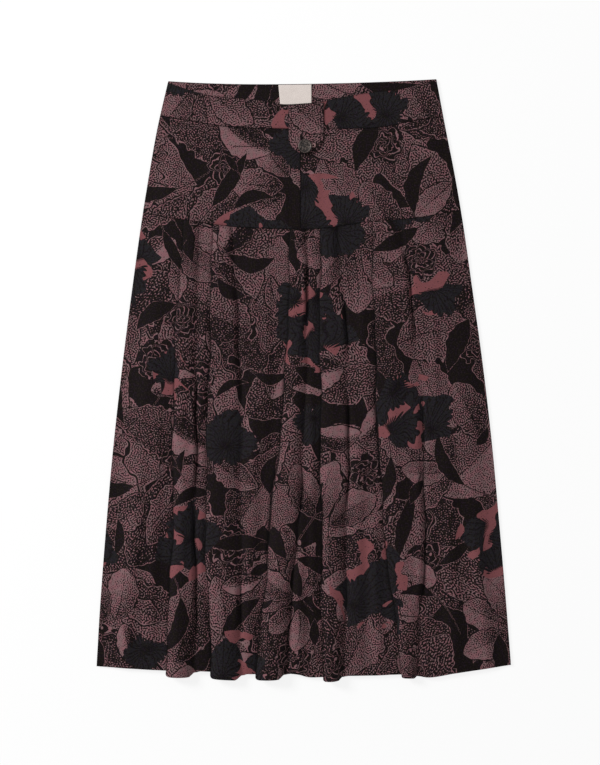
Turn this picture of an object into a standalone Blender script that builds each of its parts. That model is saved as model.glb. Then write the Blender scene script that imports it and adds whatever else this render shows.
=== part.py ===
"""A midi a-line skirt with a hip yoke, laid flat on its back with its front up.

Frame: metres, +Z up. The skirt lies in the XY plane with its waist towards +Y, and its underside
is on z = 0. The origin is under the middle of its bounding box. All sizes below are in millimetres.

Layers, from the ground up: the back pieces, whose outer faces lie flat on z = 0 with the pleats' hidden
layers above them, then the front pieces, then the tab with its button. The front is lifted clear of the
back's pleats everywhere but at the side seams and the waistband.
"""

from bisect import bisect_right
from collections import namedtuple
from math import ceil, cos, pi, sin, sqrt

import bmesh
import bpy
from mathutils import Vector

MM = 0.001

# Cloth
WALL = 1.0              # thickness of one layer of cloth
SEAM_GAP = 0.3          # clear space between two pieces, at a seam or lying on each other
LAYER_GAP = 0.4         # clear space between two layers of one pleat
PITCH = WALL + LAYER_GAP
STACK = 2 * PITCH       # what a pleat's two hidden layers add to the single layer
FRONT_LIFT = WALL + SEAM_GAP    # underside of the front where it lies on a single layer of the back

# Waist
BAND_HEIGHT = 43.0      # back waistband, top edge to seam
CENTRE_FRONT = -4.2     # x of the centre front seam
SIDE_RAMP = 42.0        # width over which the front rises from the side seam

# Tab, button and label
TAB_LEFT = -19.9
TAB_RIGHT = 26.1
TAB_END = 293.5         # y of the lowest point of the tab's round end
BUTTON_X = 1.7
BUTTON_Y = 303.7
BUTTON_RADIUS = 9.0
SHANK_RADIUS = 4.0
BUTTON_STEPS = 28
LABEL_TOP_LEFT = -32.9
LABEL_TOP_RIGHT = 10.0
LABEL_LOW_LEFT = -30.6
LABEL_LOW_RIGHT = 10.0
LABEL_INSET = 1.0       # below the back waistband's top edge

# Skirt panels
BACK_SHORTER = 3.0      # how much shorter the back's hem lies than the front's
TURN_STEPS = 3          # straight facets around one turn of the cloth
ROW_SHARES = (0.0, 0.06, 0.17, 0.33, 0.5, 0.67, 0.83, 0.94, 1.0)    # rows from yoke seam to hem
FLAT_STEP = 14.0        # longest facet of flat cloth at the yoke seam
CORNER_STEPS = 6        # passes that bring a line and a side together at their corner
FOLD_SHARES = (0.15, 0.35, 0.55, 0.7, 0.85, 1.0)    # points across a fold's top layer
BACK_RAMP = 14.0        # run over which the back climbs onto a pleat's hidden layers

Point = namedtuple("Point", "x y")

# Side seams: one row for each height, with the left and right edge there
Edge = namedtuple("Edge", "y left right")
SIDES = (
    Edge(391.0, -175.5, 172.3),
    Edge(327.0, -190.2, 184.0),
    Edge(273.0, -199.6, 194.4),
    Edge(208.0, -209.6, 205.7),
    Edge(117.0, -223.0, 219.2),
    Edge(13.0, -236.3, 233.4),
    Edge(-91.0, -247.8, 245.2),
    Edge(-195.0, -257.0, 254.6),
    Edge(-299.0, -264.8, 263.4),
    Edge(-373.0, -269.1, 269.1),
)

# Lines across the skirt: one row for each point that the line's shape needs
BACK_TOP = (
    Point(-176.0, 388.7),
    Point(-137.0, 386.5),
    Point(-70.0, 384.8),
    Point(34.0, 385.8),
    Point(125.0, 388.8),
    Point(172.3, 391.3),
)
FRONT_TOP_LEFT = (
    Point(-177.5, 386.5),
    Point(-125.5, 370.9),
    Point(-86.5, 366.5),
    Point(-54.0, 363.0),
    Point(-31.0, 358.4),
    Point(-4.2, 357.8),
)
FRONT_TOP_RIGHT = (
    Point(-4.2, 357.8),
    Point(26.0, 362.0),
    Point(41.0, 366.0),
    Point(85.0, 373.5),
    Point(125.5, 378.0),
    Point(151.5, 384.6),
    Point(172.3, 390.2),
)
TAB_TOP = (
    Point(-19.9, 357.6),
    Point(26.1, 360.6),
)
WAIST_SEAM = (
    Point(-186.6, 344.0),
    Point(-147.6, 337.0),
    Point(-103.0, 330.0),
    Point(-20.0, 326.7),
    Point(27.0, 326.7),
    Point(100.0, 328.8),
    Point(137.0, 335.8),
    Point(180.0, 342.8),
)
YOKE_SEAM = (
    Point(-208.6, 217.5),
    Point(-139.8, 205.8),
    Point(-93.0, 199.3),
    Point(-34.5, 196.7),
    Point(20.0, 196.7),
    Point(78.7, 204.9),
    Point(156.7, 212.3),
    Point(204.0, 221.5),
)
HEM = (
    Point(-269.1, -371.4),
    Point(-180.0, -376.6),
    Point(-128.0, -378.6),
    Point(-72.0, -383.1),
    Point(0.0, -384.0),
    Point(89.0, -383.1),
    Point(146.3, -383.1),
    Point(160.0, -385.6),
    Point(195.7, -380.0),
    Point(269.1, -369.1),
)

# Front pleats: one row for each fold, left to right. Its left edge is a crisp turn of the cloth and its
# right edge is where the top layer rolls down to the panel. Both are given at the yoke seam, at a third
# and two thirds of the length, and at the hem. "tuck" is the depth of the hidden layers, "crown" the
# height that the fold puffs up by, and "drop" how much lower its hem hangs.
Fold = namedtuple("Fold", "left right tuck_seam tuck_hem crown_seam crown_hem drop")
Stations = namedtuple("Stations", "seam upper lower hem")
FRONT_FOLDS = (
    Fold(Stations(-155.4, -168.1, -169.7, -179.4), Stations(-134.6, -138.5, -141.1, -139.8),
         5.0, 12.0, 0.3, 4.5, 9.0),
    Fold(Stations(-117.7, -122.9, -127.0, -119.0), Stations(-93.0, -82.0, -81.3, -81.3),
         5.0, 10.0, 0.3, 5.0, 6.5),
    Fold(Stations(-17.6, -24.3, -43.6, -61.8), Stations(3.3, 3.3, -7.2, -25.4),
         5.0, 11.0, 0.3, 5.0, 7.4),
    Fold(Stations(21.5, 21.5, 23.4, 24.1), Stations(44.9, 57.2, 55.3, 52.0),
         6.0, 9.0, 0.3, 4.0, 7.6),
    Fold(Stations(89.1, 93.6, 104.0, 127.0), Stations(125.5, 149.5, 157.0, 147.0),
         6.0, 7.0, 0.3, 2.5, 4.6),
)

# Back pleats: the same, laid flat, so only the crisp edge and the hidden depth are needed
BackFold = namedtuple("BackFold", "left tuck_seam tuck_hem")
BACK_FOLDS = (
    BackFold(Stations(-146.0, -152.0, -160.0, -171.0), 6.0, 12.0),
    BackFold(Stations(-78.0, -83.0, -88.0, -96.0), 6.0, 11.0),
    BackFold(Stations(-9.0, -8.0, -9.5, -11.0), 6.0, 12.0),
    BackFold(Stations(60.0, 64.0, 70.0, 74.0), 6.0, 11.0),
    BackFold(Stations(126.0, 134.0, 141.0, 150.0), 6.0, 12.0),
)

# Colours as linear RGB
Finish = namedtuple("Finish", "color roughness metallic")
FINISHES = {
    "printed_cloth": Finish((0.045, 0.025, 0.027), 0.85, 0.0),
    "label_cloth": Finish((0.62, 0.57, 0.50), 0.80, 0.0),
    "button_metal": Finish((0.065, 0.060, 0.058), 0.42, 0.7),
}


def clear_scene():
    """Remove what the scene already holds."""
    for item in list(bpy.data.objects):
        bpy.data.objects.remove(item)


def make_material(name):
    """One Principled material from its row in FINISHES."""
    finish = FINISHES[name]
    material = bpy.data.materials.new(name)
    material.use_nodes = True
    shader = material.node_tree.nodes["Principled BSDF"]
    shader.inputs["Base Color"].default_value = (*finish.color, 1.0)
    shader.inputs["Roughness"].default_value = finish.roughness
    shader.inputs["Metallic"].default_value = finish.metallic
    return material


def smoothstep(share):
    """0 below 0, 1 above 1, and a smooth rise between."""
    share = min(max(share, 0.0), 1.0)
    return share * share * (3.0 - 2.0 * share)


def blend(start, end, share):
    """A value part of the way from start to end."""
    return start + (end - start) * share


def line_through(pairs):
    """A smooth curve y(x) through the given pairs, straight past its ends."""
    pairs = sorted(pairs)
    xs = [pair[0] for pair in pairs]
    ys = [pair[1] for pair in pairs]
    last = len(xs) - 1
    runs = [(ys[i + 1] - ys[i]) / (xs[i + 1] - xs[i]) for i in range(last)]
    slopes = [runs[0]] + [(runs[i - 1] + runs[i]) / 2 for i in range(1, last)] + [runs[-1]]

    def curve(x):
        if x <= xs[0]:
            return ys[0] + slopes[0] * (x - xs[0])
        if x >= xs[last]:
            return ys[last] + slopes[last] * (x - xs[last])
        i = min(bisect_right(xs, x) - 1, last - 1)
        span = xs[i + 1] - xs[i]
        t = (x - xs[i]) / span
        start = (2 * t ** 3 - 3 * t ** 2 + 1) * ys[i] + (t ** 3 - 2 * t ** 2 + t) * span * slopes[i]
        end = (3 * t ** 2 - 2 * t ** 3) * ys[i + 1] + (t ** 3 - t ** 2) * span * slopes[i + 1]
        return start + end

    return curve


left_side = line_through([(edge.y, edge.left) for edge in SIDES])
right_side = line_through([(edge.y, edge.right) for edge in SIDES])
back_top = line_through(BACK_TOP)
front_top_left = line_through(FRONT_TOP_LEFT)
front_top_right = line_through(FRONT_TOP_RIGHT)
tab_top = line_through(TAB_TOP)
waist_seam = line_through(WAIST_SEAM)
yoke_seam = line_through(YOKE_SEAM)
hem_line = line_through(HEM)


def back_waist_seam(x):
    """The back waistband is a straight band, so its seam follows its top edge."""
    return back_top(x) - BAND_HEIGHT


def flat_on_ground(x, y):
    """Underside of the back pieces."""
    return 0.0


def on_back_band(x, y):
    """Underside of what lies on the back waistband."""
    return FRONT_LIFT


def front_floor(x, y):
    """Underside of the front's single layer.

    It lies on the back at the side seams and the waistband, and climbs over the yoke to pass over the
    back's pleats.
    """
    from_side = min(x - left_side(y), right_side(y) - x) / SIDE_RAMP
    down_yoke = (waist_seam(x) - y) / (waist_seam(x) - yoke_seam(x))
    return FRONT_LIFT + STACK * smoothstep(from_side) * smoothstep(down_yoke)


def on_front(x, y):
    """Underside of what lies on the front."""
    return front_floor(x, y) + WALL + SEAM_GAP


def add_object(name, mesh, finish, parent):
    """An object for the mesh, with its material, under the skirt's empty."""
    mesh.materials.append(make_material(finish))
    item = bpy.data.objects.new(name, mesh)
    bpy.context.scene.collection.objects.link(item)
    item.parent = parent
    return item


def closed_sheet(name, upper, lower):
    """A closed mesh from two equal grids of points, given row by row, in millimetres."""
    rows = len(upper)
    columns = len(upper[0])
    shape = bmesh.new()
    tops = [[shape.verts.new(Vector(point) * MM) for point in row] for row in upper]
    bottoms = [[shape.verts.new(Vector(point) * MM) for point in row] for row in lower]
    for j in range(rows - 1):
        for i in range(columns - 1):
            shape.faces.new((tops[j][i], tops[j + 1][i], tops[j + 1][i + 1], tops[j][i + 1]))
            shape.faces.new((bottoms[j][i], bottoms[j][i + 1], bottoms[j + 1][i + 1], bottoms[j + 1][i]))
    for j in range(rows - 1):
        for i in (0, columns - 1):
            shape.faces.new((tops[j][i], bottoms[j][i], bottoms[j + 1][i], tops[j + 1][i]))
    for i in range(columns - 1):
        for j in (0, rows - 1):
            shape.faces.new((tops[j][i], tops[j][i + 1], bottoms[j][i + 1], bottoms[j][i]))
    bmesh.ops.recalc_face_normals(shape, faces=shape.faces)
    mesh = bpy.data.meshes.new(name)
    shape.to_mesh(mesh)
    shape.free()
    return mesh


def even_shares(count):
    """Shares from 0 to 1 in equal steps."""
    return [step / count for step in range(count + 1)]


def round_shares(count):
    """Shares from 0 to 1, closer together at both ends, for an outline that is round there."""
    return [(1 - cos(pi * step / count)) / 2 for step in range(count + 1)]


def corner(line, side):
    """Where a line y(x) meets a side x(y)."""
    x = 0.0
    for _ in range(CORNER_STEPS):
        x = side(line(x))
    return Point(x, line(x))


def flat_panel(name, top, bottom, left, right, floor, columns, rows, parent, finish="printed_cloth"):
    """A wall of cloth between four lines, top(x), bottom(x), left(y) and right(y), lying on floor(x, y)."""
    top_left = corner(top, left)
    top_right = corner(top, right)
    low_left = corner(bottom, left)
    low_right = corner(bottom, right)
    upper = []
    lower = []
    for down in even_shares(rows):
        left_x = left(blend(top_left.y, low_left.y, down))
        right_x = right(blend(top_right.y, low_right.y, down))
        points = []
        for across in columns:
            top_y = top(blend(top_left.x, top_right.x, across))
            bottom_y = bottom(blend(low_left.x, low_right.x, across))
            points.append((blend(left_x, right_x, across), blend(top_y, bottom_y, down)))
        lower.append([(x, y, floor(x, y)) for x, y in points])
        upper.append([(x, y, floor(x, y) + WALL) for x, y in points])
    return add_object(name, closed_sheet(name, upper, lower), finish, parent)


def lowered(line, distance):
    """The same line, moved down."""
    return lambda x: line(x) - distance


def upright(x):
    """A side line at one x."""
    return lambda y: x


def at_share(stations, share):
    """A value at a share of the length, on a smooth curve through its four stations."""
    places = [(0.0, stations.seam), (1 / 3, stations.upper), (2 / 3, stations.lower), (1.0, stations.hem)]
    return line_through(places)(share)


def turn(x, rise_from, rise_to, side, drop_from, drop_to):
    """Half a circle of cloth from one layer to the next, bulging to side (+1 or -1), as section points."""
    middle = (rise_from + rise_to) / 2
    half = (rise_to - rise_from) / 2
    points = []
    for step in range(TURN_STEPS + 1):
        angle = -pi / 2 + pi * step / TURN_STEPS
        reach = abs(half) * (cos(angle) - 1)
        share = step / TURN_STEPS
        points.append((x + side * reach, middle + half * sin(angle), blend(drop_from, drop_to, share)))
    return points


def front_fold_section(fold, share):
    """Section points of one front pleat: (x, rise of the wall's middle, drop of the hem)."""
    left = at_share(fold.left, share)
    right = at_share(fold.right, share)
    tuck = blend(fold.tuck_seam, fold.tuck_hem, share)
    crown = blend(fold.crown_seam, fold.crown_hem, share)
    points = turn(left + tuck, 0.0, PITCH, 1, 0.0, fold.drop / 2)
    points += turn(left, PITCH, STACK, -1, fold.drop / 2, fold.drop)
    for across in FOLD_SHARES:
        rolled = smoothstep((across - 0.6) / 0.4)
        rise = STACK * (1 - rolled) + crown * sin(pi * across)
        points.append((blend(left, right, across), rise, fold.drop * (1 - rolled)))
    return points


def back_fold_section(fold, share):
    """Section points of one back pleat, whose outer face lies on the ground and hides the rest."""
    left = at_share(fold.left, share)
    tuck = blend(fold.tuck_seam, fold.tuck_hem, share)
    points = []
    for across in (0.0, 1 / 3, 2 / 3):
        points.append((left - BACK_RAMP * (1 - across), STACK * smoothstep(across), 0.0))
    points += turn(left + tuck, STACK, PITCH, 1, 0.0, 0.0)
    points += turn(left, PITCH, 0.0, -1, 0.0, 0.0)
    return points


def side_edges(share):
    """The left and right edge of a skirt panel at a share of its length."""
    left_y = blend(corner(yoke_seam, left_side).y, SIDES[-1].y, share)
    right_y = blend(corner(yoke_seam, right_side).y, SIDES[-1].y, share)
    return left_side(left_y), right_side(right_y)


def flat_stretches(sections, left, right):
    """The flat stretches of a panel's section, as (start, end): beside and between its folds."""
    starts = [left] + [section[-1][0] for section in sections]
    ends = [section[0][0] for section in sections] + [right]
    return list(zip(starts, ends))


def panel_section(fold_section, folds, share):
    """Section points of a whole panel, edge to edge, at a share of its length.

    Every row has the same number of points, set by how long each flat stretch is at the yoke seam.
    """
    sections = [fold_section(fold, share) for fold in folds]
    stretches = flat_stretches(sections, *side_edges(share))
    at_seam = flat_stretches([fold_section(fold, 0.0) for fold in folds], *side_edges(0.0))
    points = [(stretches[0][0], 0.0, 0.0)]
    for index, (start, end) in enumerate(stretches):
        seam_start, seam_end = at_seam[index]
        steps = ceil((seam_end - seam_start) / FLAT_STEP)
        points += [(blend(start, end, step / steps), 0.0, 0.0) for step in range(1, steps)]
        if index < len(sections):
            points += sections[index]
    points.append((stretches[-1][1], 0.0, 0.0))
    return points


def wall_points(middles):
    """The two faces of a wall from its middle line in section, a list of (x, z)."""
    upper = []
    lower = []
    last = len(middles) - 1
    for i, (x, z) in enumerate(middles):
        before = Vector(middles[i]) - Vector(middles[max(i - 1, 0)])
        after = Vector(middles[min(i + 1, last)]) - Vector(middles[i])
        if i == 0:
            before = after
        if i == last:
            after = before
        before.normalize()
        after.normalize()
        along = (before + after).normalized()
        widen = 1 / max(along.dot(before), 0.5)
        normal = Vector((-along.y, along.x)) * (WALL / 2 * widen)
        upper.append((x + normal.x, z + normal.y))
        lower.append((x - normal.x, z - normal.y))
    return upper, lower


def pleated_panel(name, section_at, floor, hem, parent):
    """A pleated skirt panel from the yoke seam to its hem, as a ring of section points for each row."""
    seam_points = section_at(0.0)
    hem_points = section_at(1.0)
    starts = [yoke_seam(x) - SEAM_GAP / 2 for x, rise, drop in seam_points]
    ends = [hem(x) - drop for x, rise, drop in hem_points]
    upper = []
    lower = []
    for share in ROW_SHARES:
        ys = [blend(start, end, share) for start, end in zip(starts, ends)]
        section = section_at(share)
        middles = [(x, floor(x, y) + WALL / 2 + rise) for (x, rise, drop), y in zip(section, ys)]
        high, low = wall_points(middles)
        upper.append([(x, y, z) for (x, z), y in zip(high, ys)])
        lower.append([(x, y, z) for (x, z), y in zip(low, ys)])
    return add_object(name, closed_sheet(name, upper, lower), "printed_cloth", parent)


def front_section(share):
    """The front panel's section at a share of its length."""
    return panel_section(front_fold_section, FRONT_FOLDS, share)


def back_section(share):
    """The back panel's section at a share of its length."""
    return panel_section(back_fold_section, BACK_FOLDS, share)


def make_waistbands(parent):
    """The back waistband and the two halves of the front one."""
    centre_left = upright(CENTRE_FRONT - SEAM_GAP / 2)
    centre_right = upright(CENTRE_FRONT + SEAM_GAP / 2)
    band_seam = lowered(waist_seam, -SEAM_GAP / 2)
    flat_panel("waistband_back", back_top, lowered(back_waist_seam, -SEAM_GAP / 2),
               left_side, right_side, flat_on_ground, even_shares(18), 2, parent)
    flat_panel("waistband_front_left", front_top_left, band_seam,
               left_side, centre_left, front_floor, even_shares(12), 2, parent)
    flat_panel("waistband_front_right", front_top_right, band_seam,
               centre_right, right_side, front_floor, even_shares(12), 2, parent)


def make_yokes(parent):
    """The back yoke and the two halves of the front yoke."""
    centre_left = upright(CENTRE_FRONT - SEAM_GAP / 2)
    centre_right = upright(CENTRE_FRONT + SEAM_GAP / 2)
    front_line = lowered(waist_seam, SEAM_GAP / 2)
    low_line = lowered(yoke_seam, -SEAM_GAP / 2)
    flat_panel("yoke_back", lowered(back_waist_seam, SEAM_GAP / 2), low_line,
               left_side, right_side, flat_on_ground, even_shares(18), 4, parent)
    flat_panel("yoke_front_left", front_line, low_line,
               left_side, centre_left, front_floor, even_shares(16), 8, parent)
    flat_panel("yoke_front_right", front_line, low_line,
               centre_right, right_side, front_floor, even_shares(16), 8, parent)


def make_skirt(parent):
    """The pleated front and back panels."""
    pleated_panel("skirt_front", front_section, front_floor, hem_line, parent)
    pleated_panel("skirt_back", back_section, flat_on_ground, lowered(hem_line, -BACK_SHORTER), parent)


def tab_end(x):
    """The tab's round end, half a circle as wide as the tab."""
    radius = (TAB_RIGHT - TAB_LEFT) / 2
    middle = (TAB_RIGHT + TAB_LEFT) / 2
    reach = max(radius ** 2 - (x - middle) ** 2, 0.0)
    return TAB_END + radius - sqrt(reach)


def make_tab(parent):
    """The closing tab, on the waistband and the yoke at the centre front."""
    flat_panel("tab", tab_top, tab_end, upright(TAB_LEFT), upright(TAB_RIGHT),
               on_front, round_shares(14), 6, parent)


def label_low(x):
    """The label's lower end, just above the front's top edge and the tab."""
    return max(front_top_left(x), tab_top(x)) + 2 * SEAM_GAP


def make_label(parent):
    """The label, inside the back waistband, down to the front's top edge."""
    top = lowered(back_top, LABEL_INSET)
    sides = []
    for low_x, top_x in ((LABEL_LOW_LEFT, LABEL_TOP_LEFT), (LABEL_LOW_RIGHT, LABEL_TOP_RIGHT)):
        sides.append(line_through([(label_low(low_x), low_x), (top(top_x), top_x)]))
    left, right = sides
    flat_panel("label", top, label_low, left, right, on_back_band, even_shares(8), 1, parent, "label_cloth")


def make_button(parent):
    """A turned metal button with a short shank, seated on the tab."""
    seat = on_front(BUTTON_X, BUTTON_Y - SHANK_RADIUS) + WALL + SEAM_GAP
    rim = BUTTON_RADIUS
    profile = (
        (0.0, 0.0),
        (SHANK_RADIUS, 0.0),
        (SHANK_RADIUS, 1.4),
        (rim - 0.8, 1.4),
        (rim, 2.0),
        (rim, 2.8),
        (rim - 0.7, 3.5),
        (rim - 1.7, 3.6),
        (rim - 2.1, 3.2),
        (0.0, 3.0),
    )
    shape = bmesh.new()
    rings = []
    for radius, height in profile[1:-1]:
        ring = []
        for step in range(BUTTON_STEPS):
            angle = 2 * pi * step / BUTTON_STEPS
            place = Vector((radius * cos(angle), radius * sin(angle), height))
            ring.append(shape.verts.new(place * MM))
        rings.append(ring)
    for low, high in zip(rings, rings[1:]):
        for i in range(BUTTON_STEPS):
            after = (i + 1) % BUTTON_STEPS
            shape.faces.new((low[i], low[after], high[after], high[i]))
    for ring, (radius, height) in ((rings[0], profile[0]), (rings[-1], profile[-1])):
        middle = shape.verts.new(Vector((0.0, 0.0, height)) * MM)
        for i in range(BUTTON_STEPS):
            shape.faces.new((middle, ring[i], ring[(i + 1) % BUTTON_STEPS]))
    bmesh.ops.recalc_face_normals(shape, faces=shape.faces)
    mesh = bpy.data.meshes.new("button")
    shape.to_mesh(mesh)
    shape.free()
    mesh.shade_smooth()
    mesh.set_sharp_from_angle(angle=pi / 6)
    button = add_object("button", mesh, "button_metal", parent)
    button.location = Vector((BUTTON_X, BUTTON_Y, seat)) * MM


def main():
    """Build the skirt."""
    clear_scene()
    skirt = bpy.data.objects.new("skirt_origin", None)
    bpy.context.scene.collection.objects.link(skirt)
    make_waistbands(skirt)
    make_yokes(skirt)
    make_skirt(skirt)
    make_tab(skirt)
    make_label(skirt)
    make_button(skirt)


main()
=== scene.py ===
"""The looks of a midi a-line skirt with a hip yoke, laid flat on its back with its front up.

Sizes are in millimetres in the skirt's own frame: +X to the right, +Y to the waist, +Z up from the
floor. Meshes turn them into metres.

Every piece of cloth is a grid of points in the middle of its wall. Each point also has a place on the
flat cloth, so the print runs through the pleats and breaks at the seams as printed cloth does.
"""

from collections import namedtuple
from functools import partialmethod
from math import ceil, cos, pi, radians, sin

import bpy
import numpy as np
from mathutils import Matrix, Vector


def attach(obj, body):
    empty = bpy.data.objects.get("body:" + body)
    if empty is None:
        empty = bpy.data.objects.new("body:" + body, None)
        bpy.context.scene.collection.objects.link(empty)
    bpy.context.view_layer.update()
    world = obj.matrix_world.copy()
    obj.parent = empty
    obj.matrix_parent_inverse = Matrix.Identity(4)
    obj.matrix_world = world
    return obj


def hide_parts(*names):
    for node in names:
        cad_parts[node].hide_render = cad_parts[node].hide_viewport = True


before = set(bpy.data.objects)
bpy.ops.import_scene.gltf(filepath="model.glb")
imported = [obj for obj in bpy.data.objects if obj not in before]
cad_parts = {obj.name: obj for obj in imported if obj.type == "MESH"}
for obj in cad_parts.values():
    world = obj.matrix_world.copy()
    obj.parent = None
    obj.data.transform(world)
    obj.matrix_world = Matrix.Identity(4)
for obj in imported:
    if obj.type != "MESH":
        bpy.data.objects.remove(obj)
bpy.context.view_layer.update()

MM = 0.001


def table(kind, *rows):
    """One named tuple of a kind for each row of values."""
    return [kind(*row) for row in rows]


# ---- Sizes of the skirt ----

WALL = 1.0              # room that one layer of cloth has
SEAM_GAP = 0.3          # clear space between two pieces
BACK_SEAM_LOWER = 1.2   # how much lower the back's yoke seam lies than the front's
LAYER_GAP = 0.4         # clear space between two layers of one pleat
PITCH = WALL + LAYER_GAP
STACK = 2 * PITCH       # what a pleat's two hidden layers add to the single layer
FRONT_LIFT = WALL + SEAM_GAP

BAND_HEIGHT = 43.0      # back waistband, top edge to seam
CENTRE_FRONT = -4.2     # x of the centre front seam
SIDE_RAMP = 42.0        # width over which the front rises from the side seam
BACK_SHORTER = 3.0      # how much shorter the back's hem lies than the front's
BACK_RAMP = 14.0        # run over which the back climbs onto a pleat's hidden layers

TAB_LEFT = -19.9
TAB_RIGHT = 26.1
TAB_END = 293.5         # y of the lowest point of the tab's round end
BUTTON_X = 1.7
BUTTON_Y = 303.7
BUTTON_RADIUS = 9.0
SHANK_RADIUS = 4.0
LABEL_TOP = (-32.9, 10.0)   # x of the label's left and right side at its top and its lower end
LABEL_LOW = (-30.6, 10.0)
LABEL_INSET = 1.0       # below the back waistband's top edge

# Thickness of the cloth in each kind of piece
BAND_CLOTH = 1.1
YOKE_CLOTH = 0.85
SKIRT_CLOTH = 0.75
TAB_CLOTH = 1.1
LABEL_CLOTH = 0.5
HEM_TURNING = 17.0      # height of the doubled cloth at the hem
HEM_EXTRA = 0.35        # what the turning adds to the cloth
HEM_EXTRA_RUN = 2.0     # run over which it is added

# How finely the cloth is divided
CELL = 4.0              # spacing of the grid's columns
ROW = 4.6               # spacing of the skirt panels' rows
TAB_ROW = 2.0           # spacing of the tab's rows
LABEL_CELL = 1.5        # spacing of the label's rows and columns
RIM = (0.0, 0.2, 0.55, 1.1)     # places of the rows and columns that round off an edge
TURN_STEPS = 7          # facets around one turn of a pleat

Point = namedtuple("Point", "x y")

# Side seams: the left and the right edge at some heights
SIDES = table(
    namedtuple("Edge", "y left right"),
    (391, -175.5, 172.3), (327, -190.2, 184.3), (273, -199.9, 195), (208, -210.4, 206.2),
    (117, -223.1, 219.2), (13, -236.3, 233.4), (-91, -247.8, 245.2), (-195, -257, 254.6),
    (-299, -264.8, 263.4), (-373, -269.1, 269.1),
)

# Lines across the skirt, as (x, y)
BACK_TOP = ((-176, 388.7), (-137, 386.5), (-70, 384.8), (34, 385.8), (125, 388.8), (172.3, 391.3))
FRONT_TOP_LEFT = ((-177.5, 386.5), (-125.5, 370.9), (-86.5, 366.5), (-54, 363), (-31, 358.4), (-4.2, 357.8))
FRONT_TOP_RIGHT = ((-4.2, 357.8), (26, 362), (41, 366), (85, 373.5), (125.5, 378), (151.5, 384.6),
                   (172.3, 390.2))
TAB_TOP = ((-19.9, 357.6), (26.1, 360.6))
WAIST_SEAM = ((-186.6, 344), (-147.6, 337), (-103, 330), (-20, 326.7), (27, 326.7), (100, 328.8),
              (137, 335.8), (180, 342.8))
YOKE_SEAM = ((-208.6, 217.5), (-139.8, 205.8), (-93, 199.3), (-34.5, 196.7), (20, 196.7), (78.7, 204.9),
             (156.7, 212.3), (204, 221.5))
HEM = ((-269.1, -371.4), (-180, -376.6), (-128, -377.8), (-72, -381.2), (-8, -381.6), (6, -385.2),
       (22, -385.2), (56, -383.6), (89, -383.1), (145, -382.4), (160, -385.6), (195.7, -380.5),
       (269.1, -369.6))
PANEL_TOP = 196.7       # the skirt panels' top and hem at their middle
PANEL_LOW = -381.6

# How much of a fold's drop its hem has at its left and its right edge
HEM_LEFT = 0.84
HEM_RIGHT = 0.22
HEM_FALL = 0.76         # share of a fold's width after which its hem climbs
HEM_RUN = 7.0           # run over which the hem climbs back to its line, to the right of a fold

# Front pleats, left to right. The left edge is a crisp turn, and at the right edge the top layer rolls
# down to the panel. Both are given at the yoke seam, at a third and two thirds of the length and at the
# hem. "tuck" is the depth of the hidden layers, "crown" the height that the fold puffs up by, and
# "drop" how much lower its hem hangs.
FRONT_FOLDS = table(
    namedtuple("Fold", "left right tuck_seam tuck_hem crown_seam crown_hem drop"),
    ((-155.4, -168.1, -169.7, -179.9), (-134.6, -138.5, -141.1, -139.8), 5, 12, 0.6, 7, 7.5),
    ((-117.7, -122.9, -127, -119), (-93, -82, -81.3, -81.3), 5, 10, 0.8, 7, 8.3),
    ((-17.6, -24.3, -43.6, -61.8), (3.3, 3.3, -7.2, -25.4), 5, 11, 0.7, 7.5, 7.2),
    ((21.5, 21.5, 23.4, 24.1), (44.9, 57.2, 55.3, 52), 6, 9, 0.8, 6.5, 5.2),
    ((89.1, 93.6, 104, 127.8), (125.5, 149.5, 157, 147), 6, 7, 1, 5, 4.1),
)

# Back pleats: the crisp edge, and the depth of the hidden layers
BACK_FOLDS = table(
    namedtuple("BackFold", "left tuck_seam tuck_hem"),
    ((-146, -152, -160, -171), 6, 12),
    ((-78, -83, -88, -96), 6, 11),
    ((-9, -8, -9.5, -11), 6, 12),
    ((60, 64, 70, 74), 6, 11),
    ((126, 134, 141, 150), 6, 12),
)

# ---- Creases ----

# A stretch along one edge of a front fold: the fold's number, both ends, and how strong it is
Stretch = namedtuple("Stretch", "fold y_top y_low strength")
STRETCH_FADE = 48.0     # length over which a stretch weakens at each end

# Where a fold's right edge falls into a deep valley, which is also darkened with painted shade
VALLEYS = table(
    Stretch,
    (0, 20, -170, 1), (0, -150, -360, 0.9), (0, -300, -430, 0.4),
    (1, 230, 130, 0.5), (1, 140, -60, 0.75), (1, -225, -345, 0.85),
    (2, 185, 50, 1), (2, -78, -205, 0.85), (2, -160, -420, 0.65),
    (3, 132, 8, 0.9), (3, 8, -192, 1), (3, -160, -350, 0.6),
    (4, 182, 20, 1), (4, -2, -125, 0.85), (4, -90, -312, 1),
)
VALLEY_LEAST = 0.22     # depth of a valley outside these stretches

# Where the gap below a fold's left edge is darkened with painted shade
GAP_SHADES = table(
    Stretch,
    (0, 0, -220, 0.6), (1, 100, -5, 0.8), (1, -280, -430, 0.85),
    (2, 30, -98, 0.65), (2, -78, -262, 1), (3, 210, 75, 0.65),
    (3, -32, -190, 0.85), (3, -175, -330, 0.6), (4, 100, -160, 1),
)
GAP_LEAST = 0.35        # painted shade of a gap outside these stretches

WANDER = 1.3            # how far a fold's edges stray from their smooth curves
WANDER_START = 0.1      # share of the panel's length over which this sets in

CREASE_LIFT = 1.6       # all of the creases' heights are multiplied by this much
CREASE_TOP_FADE = 0.3   # share of a crease's length over which it rises, and over which it dies away
CREASE_LOW_FADE = 0.15
NEAR_HEM = -360.0       # a crease that reaches below this height runs out through the hem,
HEM_REST = 0.3          # and doesn't die away fully there
TROUGH_LEAST = -0.15    # no trough goes lower than this below the plain cloth

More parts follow.
